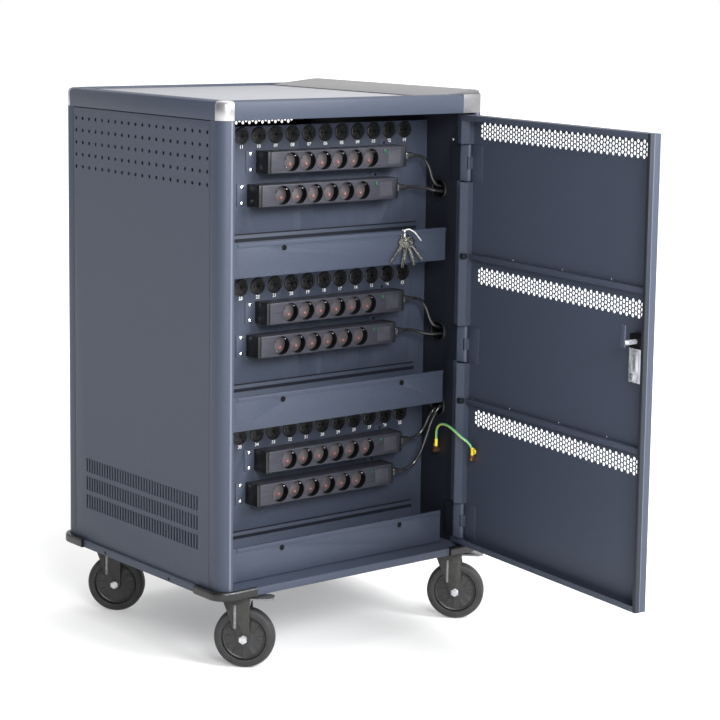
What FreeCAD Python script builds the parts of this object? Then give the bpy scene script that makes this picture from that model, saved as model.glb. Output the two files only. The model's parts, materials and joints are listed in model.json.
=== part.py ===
# Charging cabinet on castors: sheet metal body, power bay with socket strips in front, device bays behind.
# Millimetres. Origin on the floor under the middle of the body, power side towards -Y, +X right, +Z up.
import FreeCAD, Part
import math
import os
from FreeCAD import Vector

# Body
body_width = 680.0
body_depth = 600.0
body_height = 941.0
corner_radius = 28.0
panel_sheet = 1.5
frame_sheet = 2.0
cut_overrun = 2.0

# Base
base_clearance = 156.0
base_height = 16.0
base_overhang = 5.0
bumper_thickness = 6.0
bumper_height = 12.0
bumper_lift = 1.0
bumper_leg = 60.0

# Corner posts, whose returns carry the inner walls
post_side = 43.0
post_jamb = 34.0
post_return = 12.0

# Side panel vents
side_hole_columns = 7
side_hole_rows = 3
side_hole_margin = 29.5
side_hole_pitch_z = 45.0
side_hole_radius = 10.0
side_hole_sides = 4
side_hole_top_drop = 26.0
side_slot_columns = 9
side_slot_rows = 3
side_slot_margin = 57.0
side_slot_pitch_z = 40.0
side_slot_width = 20.0
side_slot_height = 30.0
side_slot_rise = 88.0

# Top
fascia_height = 39.0
rail_width = 22.0
rail_edge_radius = 8.0
top_panel_drop = 5.0
handle_toe_inset = 145.0
handle_grip_width = 44.0
handle_rise = 9.0
handle_edge_radius = 13.0
handle_toe_height = 2.0
handle_seat = 0.5
handle_block_width = 63.0
handle_recess_depth = 32.0
handle_recess_height = 24.0
handle_recess_rise = 9.0
handle_recess_margin = 62.0
handle_cap_inset = 10.0
handle_cap_toe_gap = 45.0
handle_cap_edge = 8.0
handle_cap_drop = 1.0

# Doors
door_open_angle = 84.0
door_gap = 4.0
door_gap_below = 6.0
door_depth = 26.0
door_lip = 12.0
door_hinge_lip = 20.0
vent_drop = 28.0
vent_pitch = 305.0
vent_rows = 3
vent_columns = 10
vent_column_pitch = 51.0
vent_hole_width = 34.0
vent_hole_height = 34.0
door_bar_height = 22.0
door_bar_depth = 10.0
door_bar_margin = 18.0
door_bar_heights = (640.0, 326.0)

# Hinges
hinge_inset = 6.0
hinge_depth = 7.0
hinge_height = 78.0
hinge_top_drop = 107.0
hinge_bottom_rise = 52.0
hinge_pin_radius = 2.0
hinge_knuckle_radius = 3.9
hinge_knuckle_sides = 8
hinge_clearance = 0.05
hinge_gap = 0.3
hinge_room = 0.8
hinge_leaf_sheet = 1.3
hinge_leaf_width = 42.0
hinge_leaf_setback = 6.0
hinge_plate_sheet = 2.5
hinge_plate_length = 53.0
hinge_middle_height = 26.0
hinge_notch_margin = 2.0

# Lock and handle, measured from the free edge of the door and the base
lock_setback = 37.0
lock_rise = 535.0
lock_width = 36.0
lock_height = 95.0
lock_depth = 14.0
lock_case_drop = 33.0
lock_neck_width = 20.0
lock_neck_height = 84.0
escutcheon_width = 34.0
escutcheon_height = 130.0
escutcheon_depth = 3.0
spindle_radius = 5.0
spindle_clearance = 0.06
lever_gap = 0.3
lever_depth = 12.0
lever_hub_radius = 13.0
lever_length = 96.0
lever_width = 18.0
cam_reach = 35.0
cam_width = 16.0
cam_sheet = 4.0
cam_gap = 3.0
lever_hub_sides = 8
keeper_height = 84.0
keeper_clearance = 2.0

# Partition and its grommets
partition_setback = 145.0
partition_gap_above = 23.0
tiers = 3
tier_margin = 8.0
grommet_row_drop = 19.0
grommets_per_tier = 12
grommet_pitch = 43.0
grommet_radius = 18.0
grommet_neck_radius = 15.0
grommet_flange = 3.0
grommet_sides = 6

# Charger trays
tray_front_setback = 45.0
tray_half_width = 272.0
tray_lip_rise = 106.0
tray_wall = 70.0
tray_hem = 4.0
tray_hem_height = 8.0
tray_flange_rise = 2.0
tray_notch_offset = 157.0
tray_notch_drop = 15.0
tray_notch_radius = 6.0
tray_notch_sides = 8

# Power strips
strip_length = 348.0
strip_height = 45.0
strip_depth = 44.0
strip_right_gap = 102.0
strip_stagger = 22.0
strip_drops = (53.5, 121.0)
socket_first = 52.0
socket_pitch = 41.5
sockets_per_strip = 6
socket_radius = 19.5
socket_depth = 17.0
socket_face = 4.0
socket_sides = 8
lamp_setback = 51.0
lamp_rise = 13.0
lamp_size = 7.0
lamp_depth = 2.0
end_cap_sheet = 8.0
bracket_width = 25.0
bracket_sheet = 2.0
bracket_tab = 10.0
bracket_tab_inset = 8.0

# Cord glands
gland_axis_depth = 30.0
gland_nut_radius = 11.0
gland_nut_length = 10.0
gland_root_radius = 8.5
gland_root_length = 11.0
gland_tip_radius = 6.0
gland_tip_length = 9.0
cord_radius = 3.5
cord_trim_share = 0.45
cord_sides = 4

# Wall grommets and the terminal boxes behind them
wall_grommet_radius = 25.0
wall_grommet_neck = 21.0
wall_grommet_bore = 19.0
wall_grommet_flange = 3.0
wall_grommet_sides = 8
wall_grommet_setbacks = (101.0, 96.0, 93.0)
wall_grommet_drops = (128.0, 128.0, -18.0)
terminal_depth = 16.5
terminal_width = 46.0
terminal_height = 44.0

# Mains inlet, low on the right side
inlet_place = 150.0
inlet_rise = 45.0
inlet_width = 48.0
inlet_height = 28.0
inlet_body_depth = 30.0
inlet_rim = 5.0
inlet_rim_sheet = 2.0
inlet_well_margin = 6.0
inlet_well_depth = 18.0

# Earth bonding between the wall and the front door
earth_wall_setback = 86.0
earth_rise = 196.0
earth_door_reach = 37.0
earth_stud_radius = 4.0
earth_stud_sides = 8
earth_stud_length = 14.0
earth_lug_size = 8.0
earth_lug_height = 6.0
earth_lug_offset = 8.0
earth_wire_radius = 2.5

# Keys on a tie at the upper tray's lip
tie_width = 4.0
tie_strap = 1.2
tie_slack = 0.5
key_ring_radius = 11.0
key_wire_radius = 1.1
key_gap = 0.3
key_sheet = 2.0
key_bow_radius = 11.0
key_bow_sides = 6
key_ring_sides = 10
key_blade_width = 8.0
key_length = 52.0
key_angles = (-38.0, -10.0, 17.0, 39.0)

# Device bays
shelf_setback = 63.5
shelf_lip = 14.0
divider_sheet = 2.0
divider_pitch = 43.0
dividers_per_shelf = 13
divider_height = 150.0
divider_setback = 50.0
divider_chamfer = 70.0

# Castors
castor_inset = 56.0
castor_plate_length = 96.0
castor_plate_width = 84.0
castor_plate_sheet = 4.0
castor_angle = -45.0
raceway_radius = 28.0
raceway_sides = 12
raceway_height = 5.7
raceway_gap = 0.3
kingpin_radius = 6.0
kingpin_head_radius = 10.0
kingpin_head_height = 4.0
running_clearance = 0.05
bridge_sheet = 6.0
bridge_back = 30.0
fork_sheet = 3.0
fork_gap = 2.0
fork_top_width = 60.0
castor_trail = 35.0
wheel_radius = 62.5
wheel_width = 32.0
wheel_sides = 18
hub_radius = 46.0
hub_rim = 8.0
hub_width = 28.0
hub_boss_radius = 13.0
hub_boss_gap = 0.4
hub_web = 9.0
tread_drop = 5.0
axle_radius = 5.0
axle_boss_radius = 13.0
axle_head_radius = 8.0
axle_head_height = 6.0
hex_sides = 6
pedal_place = 42.0
pedal_drop = 12.0
pedal_pin_radius = 3.0
pedal_body_length = 14.0
pedal_body_height = 12.0
pedal_side_gap = 0.5
pedal_shoe_length = 8.0
pedal_shoe_drop = 9.0
pedal_reach = 46.0
pedal_sheet = 4.0
pedal_width = 38.0
pedal_chamfer = 9.0
pedal_shoe_width = 16.0

# Levels and faces that several pieces share
half_width = body_width / 2
half_depth = body_depth / 2
base_top = base_clearance + base_height
sheet_under = base_top - frame_sheet
fascia_bottom = base_top + body_height
fascia_top = fascia_bottom + fascia_height
opening_half = half_width - corner_radius
inner_half = opening_half - post_return
wall_front = half_depth - post_side
panel_inside = half_width - panel_sheet
partition_face = -half_depth + partition_setback
partition_back = partition_face + panel_sheet
partition_top = fascia_bottom - partition_gap_above
tier_pitch = (body_height - tier_margin) / tiers
tier_tops = [partition_top - tier_pitch * tier for tier in range(tiers)]
grommet_rows = [top - grommet_row_drop for top in tier_tops]
tray_lips = [row - tier_pitch + tray_lip_rise for row in grommet_rows]
tray_floors = [lip - tray_wall for lip in tray_lips]
tray_face = -half_depth + tray_front_setback
strip_face = partition_face - strip_depth
strip_left = inner_half - strip_right_gap - strip_length
wall_grommet_places = [(-half_depth + setback, row - drop) for row, setback, drop
                       in zip(grommet_rows, wall_grommet_setbacks, wall_grommet_drops)]
hinge_top = body_height - hinge_top_drop
hinge_heights = (hinge_top, (hinge_top + hinge_bottom_rise) / 2, hinge_bottom_rise)
shelf_back = half_depth - shelf_setback
pin_x = opening_half - door_gap - hinge_inset
pin_y = -half_depth + hinge_depth
skin_back = -half_depth + panel_sheet
door_back = -half_depth + door_depth
door_half = opening_half - door_gap
door_low = base_top + door_gap_below
door_high = fascia_bottom - door_gap
lock_x = lock_setback - door_half
lock_z = base_top + lock_rise
lock_middle = lock_z - lock_case_drop
cam_front = -wall_front + cam_gap
cam_back = cam_front + cam_sheet
plate_bottom = sheet_under - castor_plate_sheet
fork_top = plate_bottom - raceway_height - raceway_gap
bridge_bottom = fork_top - bridge_sheet
fork_inner = wheel_width / 2 + fork_gap
fork_outer = fork_inner + fork_sheet
fork_front = castor_trail + axle_boss_radius
pedal_z = bridge_bottom - pedal_drop
panel_top = fascia_top - top_panel_drop
seat_level = panel_top - handle_seat
toe_x = half_width - handle_toe_inset
handle_top = fascia_top + handle_rise
earth_z = base_top + earth_rise
lug_bottom = earth_z + earth_stud_radius
notch_z = tray_lips[0] - tray_notch_drop
up = Vector(0, 0, 1)
origin = Vector(0, 0, 0)


def block(low_x, high_x, low_y, high_y, low_z, high_z):
    corner = Vector(low_x, low_y, low_z)
    return Part.makeBox(high_x - low_x, high_y - low_y, high_z - low_z, corner)


def outline(points):
    return Part.makePolygon(points + [points[0]])


def prism(points, travel):
    return Part.Face(outline(points)).extrude(travel)


def holed_plate(points, holes, travel):
    wires = [outline(loop) for loop in [points] + holes]
    return Part.makeFace(wires, "Part::FaceMakerCheese").extrude(travel)


def polygon_points(sides, flat_radius, centre, across, upward):
    tip_radius = flat_radius / math.cos(math.pi / sides)
    points = []
    for index in range(sides):
        angle = math.pi * (2 * index + 1) / sides
        spoke = across * math.cos(angle) + upward * math.sin(angle)
        points.append(centre + spoke * tip_radius)
    return points


def polygon_rod(sides, flat_radius, start, travel):
    along = Vector(travel).normalize()
    across = up.cross(along) if abs(along.z) < abs(along.x) + abs(along.y) else Vector(1, 0, 0)
    return prism(polygon_points(sides, flat_radius, start, across, along.cross(across)), travel)


def rounded_slab(half_x, half_y, radius, low_z, high_z):
    slab = block(-half_x, half_x, -half_y, half_y, low_z, high_z)
    corners = [edge for edge in slab.Edges if abs(edge.Vertexes[0].Z - edge.Vertexes[-1].Z) > 0]
    return slab.makeFillet(radius, corners)


def turned(shape, angle, centre=origin, axis=up):
    copy = shape.copy()
    copy.rotate(centre, axis, angle)
    return copy


def moved(shape, place):
    copy = shape.copy()
    copy.translate(place)
    return copy


def mirrored(shape, normal):
    return shape.mirror(origin, normal)


def left_and_right(shape):
    return [shape, mirrored(shape, Vector(1, 0, 0))]


def front_and_back(shape):
    return [shape, mirrored(shape, Vector(0, 1, 0))]


def spread(index, count, reach):
    return reach * (2 * index / (count - 1) - 1)


def save(name, shapes):
    Part.makeCompound(shapes).exportStep("parts/" + name + ".step")


# Base pan with its skirt turned down, and the rubber corners that wrap it
def base_pan():
    reach_x = half_width + base_overhang
    reach_y = half_depth + base_overhang
    radius = corner_radius + base_overhang
    pan = rounded_slab(reach_x, reach_y, radius, base_clearance, base_top)
    inside = rounded_slab(reach_x - frame_sheet, reach_y - frame_sheet, radius - frame_sheet,
                          base_clearance - cut_overrun, sheet_under)
    return [pan.cut(inside)]


def base_bumpers():
    reach_x = half_width + base_overhang
    reach_y = half_depth + base_overhang
    radius = corner_radius + base_overhang
    low = base_clearance + bumper_lift
    high = low + bumper_height
    outer_x = reach_x + bumper_thickness
    outer_y = reach_y + bumper_thickness
    ring = rounded_slab(outer_x, outer_y, radius + bumper_thickness, low, high)
    ring = ring.cut(rounded_slab(reach_x, reach_y, radius, low - cut_overrun, high + cut_overrun))
    corner = ring.common(block(outer_x - bumper_leg, outer_x, outer_y - bumper_leg, outer_y, low, high))
    return [piece for side in left_and_right(corner) for piece in front_and_back(side)]


# Corner posts: a quarter round outside, with the door jamb and a return inside
def post_outline():
    front = -half_depth
    centre = Vector(opening_half, front + corner_radius, base_top)
    bulge = corner_radius / math.sqrt(2)
    side_start = Vector(half_width, front + post_side, base_top)
    side_end = Vector(half_width, front + corner_radius, base_top)
    jamb_start = Vector(opening_half, front, base_top)
    jamb_end = Vector(opening_half, front + post_jamb, base_top)
    return_end = Vector(inner_half, front + post_jamb, base_top)
    back = Vector(inner_half, front + post_side, base_top)
    edges = [Part.LineSegment(side_start, side_end).toShape(),
             Part.Arc(side_end, centre + Vector(bulge, -bulge, 0), jamb_start).toShape(),
             Part.LineSegment(jamb_start, jamb_end).toShape(),
             Part.LineSegment(jamb_end, return_end).toShape(),
             Part.LineSegment(return_end, back).toShape(),
             Part.LineSegment(back, side_start).toShape()]
    return Part.Wire(edges)


def corner_posts():
    section = Part.Face(post_outline())
    hollow = section.makeOffset2D(-frame_sheet)
    post = section.cut(hollow).extrude(Vector(0, 0, body_height))
    return [piece for side in left_and_right(post) for piece in front_and_back(side)]


# Side panels with a field of holes above and rows of upright slots below
def side_holes(plane_x):
    loops = []
    across = Vector(0, 1, 0)
    for row in range(side_hole_rows):
        for column in range(side_hole_columns):
            y = spread(column, side_hole_columns, wall_front - side_hole_margin)
            z = fascia_bottom - side_hole_top_drop - side_hole_pitch_z * row
            loops.append(polygon_points(side_hole_sides, side_hole_radius, Vector(plane_x, y, z), across, up))
    for row in range(side_slot_rows):
        for column in range(side_slot_columns):
            y = spread(column, side_slot_columns, wall_front - side_slot_margin)
            z = base_top + side_slot_rise + side_slot_pitch_z * row
            reach = Vector(0, side_slot_width / 2, 0)
            rise = Vector(0, 0, side_slot_height / 2)
            centre = Vector(plane_x, y, z)
            loops.append([centre - reach - rise, centre + reach - rise,
                          centre + reach + rise, centre - reach + rise])
    return loops


def inlet_loop(plane_x):
    reach = Vector(0, inlet_width / 2, 0)
    rise = Vector(0, 0, inlet_height / 2)
    centre = Vector(plane_x, inlet_place, base_top + inlet_rise)
    return [centre - reach - rise, centre + reach - rise, centre + reach + rise, centre - reach + rise]


def wall_points(plane_x):
    return [Vector(plane_x, -wall_front, base_top), Vector(plane_x, wall_front, base_top),
            Vector(plane_x, wall_front, fascia_bottom), Vector(plane_x, -wall_front, fascia_bottom)]


def side_panels():
    travel = Vector(panel_sheet, 0, 0)
    left = holed_plate(wall_points(-half_width), side_holes(-half_width), travel)
    right = holed_plate(wall_points(panel_inside), side_holes(panel_inside), travel)
    mouth = prism(inlet_loop(panel_inside - cut_overrun), travel + Vector(2 * cut_overrun, 0, 0))
    return [left, right.cut(mouth)]


# Inner walls: each has the slot that its door's cam enters, and the right one has the cord grommets' holes
def inner_walls():
    travel = Vector(panel_sheet, 0, 0)
    plane_x = -inner_half - panel_sheet
    near = cam_front - keeper_clearance
    far = cam_back + keeper_clearance
    reach = keeper_height / 2
    slot = [Vector(plane_x, y, lock_z + rise)
            for y, rise in ((near, -reach), (far, -reach), (far, reach), (near, reach))]
    left = holed_plate(wall_points(plane_x), [slot], travel)
    start_x = inner_half - cut_overrun
    bores = [polygon_rod(wall_grommet_sides, wall_grommet_neck, Vector(start_x, y, z),
                         travel + Vector(2 * cut_overrun, 0, 0)) for y, z in wall_grommet_places]
    return [left, turned(left, 180).cut(bores)]


# Top rails: a channel with a rounded outer edge, turned round at the left corners as separate caps
def rail_section(base, inward):
    edge_height = fascia_top - rail_edge_radius
    slant = rail_edge_radius * (1 - 1 / math.sqrt(2))
    inner_slant = frame_sheet + (rail_edge_radius - frame_sheet) * (1 - 1 / math.sqrt(2))
    inner_back = rail_width - frame_sheet
    inner_top = fascia_top - frame_sheet
    path = ((0, fascia_bottom), (0, edge_height), (slant, fascia_top - slant), (rail_edge_radius, fascia_top),
            (rail_width, fascia_top), (rail_width, fascia_bottom), (inner_back, fascia_bottom),
            (inner_back, inner_top), (rail_edge_radius, inner_top), (inner_slant, fascia_top - inner_slant),
            (frame_sheet, edge_height), (frame_sheet, fascia_bottom))
    return Part.Face(outline([base + inward * depth + up * height for depth, height in path]))


def top_rails():
    front = rail_section(Vector(-opening_half, -half_depth, 0), Vector(0, 1, 0))
    front = front.extrude(Vector(opening_half + half_width - handle_block_width, 0, 0))
    left = rail_section(Vector(-half_width, -half_depth + corner_radius, 0), Vector(1, 0, 0))
    left = left.extrude(Vector(0, body_depth - 2 * corner_radius, 0))
    return front_and_back(front) + [left]


def top_corner_caps():
    section = rail_section(Vector(-half_width, -half_depth + corner_radius, 0), Vector(1, 0, 0))
    centre = Vector(-opening_half, -half_depth + corner_radius, 0)
    return front_and_back(section.revolve(centre, up, 90))


def top_panel():
    low_x = -half_width + rail_width
    high_x = half_width - handle_grip_width
    reach_y = half_depth - rail_width
    panel = block(low_x, high_x, -reach_y, reach_y, panel_top - frame_sheet, panel_top)
    corners = [edge for edge in panel.Edges if edge.BoundBox.ZLength > 0 and edge.BoundBox.XMax < 0]
    seat = block(toe_x, high_x + cut_overrun, -half_depth, half_depth, seat_level, fascia_top)
    return [panel.makeFillet(corner_radius - rail_width, corners).cut(seat)]


# Push handle: a moulding that ramps up from the top panel to a grip with a finger recess in its outer side
def push_handle():
    reach_y = half_depth - rail_width
    shoulder_x = half_width - handle_edge_radius
    shoulder_z = handle_top - handle_edge_radius
    bulge = handle_edge_radius / math.sqrt(2)
    grip_x = half_width - handle_grip_width
    outer_top = Vector(half_width, -reach_y, shoulder_z)
    crest = Vector(shoulder_x, -reach_y, handle_top)
    middle = Vector(shoulder_x + bulge, -reach_y, shoulder_z + bulge)
    line = [crest, Vector(toe_x, -reach_y, panel_top + handle_toe_height),
            Vector(toe_x, -reach_y, seat_level), Vector(grip_x, -reach_y, seat_level),
            Vector(grip_x, -reach_y, fascia_bottom), Vector(half_width, -reach_y, fascia_bottom), outer_top]
    edges = [Part.Arc(outer_top, middle, crest).toShape()]
    edges += [Part.LineSegment(start, end).toShape() for start, end in zip(line, line[1:])]
    grip = Part.Face(Part.Wire(edges)).extrude(Vector(0, 2 * reach_y, 0))
    recess_y = reach_y - handle_recess_margin
    recess_z = fascia_bottom + handle_recess_rise
    grip = grip.cut(block(half_width - handle_recess_depth, half_width + cut_overrun, -recess_y, recess_y,
                          recess_z, recess_z + handle_recess_height))
    end_block = block(half_width - handle_block_width, half_width, -half_depth, -reach_y,
                      fascia_bottom, fascia_top)
    moulding = grip.fuse(front_and_back(end_block)).removeSplitter()
    return [moulding.common(rounded_slab(half_width, half_depth, corner_radius, fascia_bottom, handle_top))]


def handle_end_caps():
    reach_y = half_depth - rail_width
    front_y = -half_depth + handle_cap_inset
    low_x = toe_x + handle_cap_toe_gap
    points = [Vector(low_x, front_y, fascia_top), Vector(half_width - handle_cap_edge, front_y, fascia_top),
              Vector(half_width - handle_edge_radius, front_y, handle_top - handle_cap_drop)]
    return front_and_back(prism(points, Vector(0, -reach_y - front_y, 0)))


# Doors, built closed in front: a pan with turned flanges and lips, vented in bands
def door_pan():
    pan = block(-door_half, door_half, -half_depth, door_back, door_low, door_high)
    inside = door_half - panel_sheet
    pan = pan.cut(block(-inside, inside, skin_back, door_back - panel_sheet, door_low + panel_sheet,
                        door_high - panel_sheet))
    cuts = [block(-door_half + door_lip, door_half - door_hinge_lip, skin_back, door_back + cut_overrun,
                  door_low + door_lip, door_high - door_lip)]
    notch_reach = hinge_height / 2 + hinge_notch_margin
    for height in hinge_heights:
        middle = base_top + height
        cuts.append(block(door_half - door_hinge_lip, door_half + cut_overrun, skin_back,
                          door_back + cut_overrun, middle - notch_reach, middle + notch_reach))
    cuts.append(block(lock_x - lock_neck_width / 2, lock_x + lock_neck_width / 2, -half_depth - cut_overrun,
                      skin_back + cut_overrun, lock_middle - lock_neck_height / 2,
                      lock_middle + lock_neck_height / 2))
    for row in range(vent_rows):
        for column in range(vent_columns):
            x = vent_column_pitch * (column - (vent_columns - 1) / 2)
            cuts.append(vent_hole(x, door_high - vent_drop - vent_pitch * row))
    return pan.cut(cuts)


def vent_hole(x, z):
    reach = vent_hole_width / 2
    rise = vent_hole_height / 2
    return block(x - reach, x + reach, -half_depth - cut_overrun, skin_back + cut_overrun, z - rise, z + rise)


def door_bars():
    reach = door_half - door_bar_margin
    bars = []
    for height in door_bar_heights:
        low = base_top + height - door_bar_height / 2
        bar = block(-reach, reach, skin_back, skin_back + door_bar_depth, low, low + door_bar_height)
        channel = block(-reach - cut_overrun, reach + cut_overrun, skin_back - cut_overrun,
                        skin_back + door_bar_depth - panel_sheet, low + panel_sheet,
                        low + door_bar_height - panel_sheet)
        bars.append(bar.cut(channel))
    return bars


def pin_rod(radius, low_z, high_z):
    return Part.makeCylinder(radius, high_z - low_z, Vector(pin_x, pin_y, low_z))


def knuckle(low_z, high_z):
    return polygon_rod(hinge_knuckle_sides, hinge_knuckle_radius, Vector(pin_x, pin_y, low_z),
                       Vector(0, 0, high_z - low_z))


def fixed_hinges():
    pieces = []
    middle_reach = hinge_middle_height / 2
    room = hinge_knuckle_radius + hinge_room
    for height in hinge_heights:
        low = base_top + height - hinge_height / 2
        high = low + hinge_height
        middle = base_top + height
        leaf = block(inner_half - hinge_plate_sheet, inner_half, pin_y, pin_y + hinge_plate_length, low, high)
        leaf = leaf.fuse([knuckle(low, middle - middle_reach), knuckle(middle + middle_reach, high)])
        leaf = leaf.cut(block(pin_x - 2 * room, pin_x + room, pin_y - room, pin_y + room,
                              middle - middle_reach, middle + middle_reach))
        pieces.append(leaf.fuse(pin_rod(hinge_pin_radius, low, high)).removeSplitter())
    return pieces


def door_leaves():
    pieces = []
    leaf_back = skin_back + hinge_leaf_sheet
    bore_radius = hinge_pin_radius + hinge_clearance
    tongue_reach = hinge_middle_height / 2 - hinge_gap
    for height in hinge_heights:
        middle = base_top + height
        low = middle - tongue_reach
        high = middle + tongue_reach
        edge_x = pin_x - hinge_leaf_setback
        leaf = block(pin_x - hinge_leaf_width, edge_x, skin_back, leaf_back,
                     middle - hinge_height / 2, middle + hinge_height / 2)
        tongue = block(edge_x, pin_x, skin_back, pin_y, low, high)
        leaf = leaf.fuse([tongue, knuckle(low, high)])
        pieces.append(leaf.cut(pin_rod(bore_radius, low - cut_overrun, high + cut_overrun)))
    return pieces


def lock_block(width, height, low_y, high_y):
    return block(lock_x - width / 2, lock_x + width / 2, low_y, high_y, lock_middle - height / 2,
                 lock_middle + height / 2)


def spindle_rod(radius, low_y, high_y):
    return Part.makeCylinder(radius, high_y - low_y, Vector(lock_x, low_y, lock_z), Vector(0, 1, 0))


def lock_case():
    case = lock_block(lock_width, lock_height, skin_back, skin_back + lock_depth)
    face_y = -half_depth - escutcheon_depth
    case = case.fuse([lock_block(lock_neck_width, lock_neck_height, -half_depth, skin_back),
                      lock_block(escutcheon_width, escutcheon_height, face_y, -half_depth)])
    bore = spindle_rod(spindle_radius + spindle_clearance, face_y - cut_overrun,
                       skin_back + lock_depth + cut_overrun)
    return [case.cut(bore)]


def door_handle():
    lever_back = -half_depth - escutcheon_depth - lever_gap
    lever_front = lever_back - lever_depth
    hub = polygon_rod(lever_hub_sides, lever_hub_radius, Vector(lock_x, lever_front, lock_z),
                      Vector(0, lever_depth, 0))
    arm = block(lock_x - lever_width / 2, lock_x + lever_width / 2, lever_front, lever_back,
                lock_z - lever_length, lock_z)
    spindle = spindle_rod(spindle_radius, lever_back, cam_front)
    cam = block(lock_x - cam_width / 2, lock_x + cam_width / 2, cam_front, cam_back, lock_z - cam_width / 2,
                lock_z + cam_reach)
    return [hub.fuse(arm).removeSplitter(), spindle, cam]


def door_earth_stud():
    centre = Vector(pin_x - earth_door_reach, skin_back, earth_z)
    return earth_stud(centre, Vector(0, 1, 0))


def earth_stud(centre, outward):
    stud = polygon_rod(earth_stud_sides, earth_stud_radius, centre, outward * earth_stud_length)
    half = earth_lug_size / 2
    seat = centre + outward * earth_lug_offset
    lug = block(seat.x - half, seat.x + half, seat.y - half, seat.y + half, lug_bottom,
                lug_bottom + earth_lug_height)
    return [stud, lug]


def opened(shapes):
    return [turned(shape, door_open_angle, Vector(pin_x, pin_y, 0)) for shape in shapes]


def to_back(shapes):
    return [turned(shape, 180) for shape in shapes]


# Partition with a row of cord grommets at the top of each tier
def grommet_places():
    offsets = [grommet_pitch * (index - (grommets_per_tier - 1) / 2) for index in range(grommets_per_tier)]
    return [(x, z) for z in grommet_rows for x in offsets]


def partition_panel():
    points = [Vector(x, partition_face, z) for x, z in
              ((-inner_half, base_top), (inner_half, base_top), (inner_half, partition_top),
               (-inner_half, partition_top))]
    across = Vector(1, 0, 0)
    holes = [polygon_points(grommet_sides, grommet_neck_radius, Vector(x, partition_face, z), across, up)
             for x, z in grommet_places()]
    return [holed_plate(points, holes, Vector(0, panel_sheet, 0))]


def cable_grommets():
    return [polygon_rod(grommet_sides, grommet_radius, Vector(x, partition_face - grommet_flange, z),
                        Vector(0, grommet_flange, 0)) for x, z in grommet_places()]


# Charger trays: one bent sheet each, hemmed in front and screwed to the partition behind
def charger_tray(lip):
    floor = lip - tray_wall
    inner_face = tray_face + panel_sheet
    flange_face = partition_face - panel_sheet
    hem_back = tray_face + tray_hem
    flange_top = lip + tray_flange_rise
    path = ((tray_face, floor), (tray_face, lip), (hem_back, lip), (hem_back, lip - tray_hem_height),
            (inner_face, lip - tray_hem_height), (inner_face, floor + panel_sheet),
            (flange_face, floor + panel_sheet), (flange_face, flange_top), (partition_face, flange_top),
            (partition_face, floor))
    points = [Vector(-tray_half_width, y, z) for y, z in path]
    tray = prism(points, Vector(2 * tray_half_width, 0, 0))
    notches = [polygon_rod(tray_notch_sides, tray_notch_radius,
                           Vector(x, tray_face - cut_overrun, lip - tray_notch_drop),
                           Vector(0, panel_sheet + 2 * cut_overrun, 0))
               for x in (-tray_notch_offset, tray_notch_offset)]
    return [tray.cut(notches)]


# Power strips: a casing with round wells, its end caps, brackets, lamp and cord gland
def strip_places():
    return [(strip_left - strip_stagger * index, row - drop)
            for row in grommet_rows for index, drop in enumerate(strip_drops)]


def socket_centres(left):
    return [left + socket_first + socket_pitch * index for index in range(sockets_per_strip)]


def power_strip(left, middle):
    casing = block(left, left + strip_length, strip_face, partition_face, middle - strip_height / 2,
                   middle + strip_height / 2)
    wells = [polygon_rod(socket_sides, socket_radius, Vector(x, strip_face - cut_overrun, middle),
                         Vector(0, socket_depth + cut_overrun, 0)) for x in socket_centres(left)]
    return casing.cut(wells)


def socket_inserts():
    face_y = strip_face + socket_depth - socket_face
    return [polygon_rod(socket_sides, socket_radius, Vector(x, face_y, middle), Vector(0, socket_face, 0))
            for left, middle in strip_places() for x in socket_centres(left)]


def strip_end_caps():
    pieces = []
    for left, middle in strip_places():
        for low_x in (left - end_cap_sheet, left + strip_length):
            pieces.append(block(low_x, low_x + end_cap_sheet, strip_face, partition_face,
                                middle - strip_height / 2, middle + strip_height / 2))
    return pieces


def strip_brackets():
    pieces = []
    face_y = partition_face - bracket_sheet
    for left, middle in strip_places():
        cap_x = left - end_cap_sheet
        tab_x = left + strip_length - bracket_tab_inset
        tab_z = middle + strip_height / 2
        pieces.append(block(cap_x - bracket_width, cap_x, face_y, partition_face,
                            middle - strip_height / 2, tab_z))
        pieces.append(block(tab_x - bracket_width, tab_x, face_y, partition_face, tab_z, tab_z + bracket_tab))
    return pieces


def strip_lamps():
    half = lamp_size / 2
    pieces = []
    for left, middle in strip_places():
        x = left + strip_length - lamp_setback
        z = middle + lamp_rise
        pieces.append(block(x - half, x + half, strip_face - lamp_depth, strip_face, z - half, z + half))
    return pieces


def gland_start(left, middle):
    return Vector(left + strip_length + end_cap_sheet, partition_face - gland_axis_depth, middle)


def gland_nuts():
    travel = Vector(gland_nut_length, 0, 0)
    return [polygon_rod(hex_sides, gland_nut_radius, gland_start(left, middle), travel)
            for left, middle in strip_places()]


def cord_glands():
    pieces = []
    for left, middle in strip_places():
        start = gland_start(left, middle) + Vector(gland_nut_length, 0, 0)
        step = Vector(gland_root_length, 0, 0)
        root = polygon_rod(hex_sides, gland_root_radius, start, step)
        tip = polygon_rod(hex_sides, gland_tip_radius, start + step, Vector(gland_tip_length, 0, 0))
        pieces.append(root.fuse(tip))
    return pieces


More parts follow.
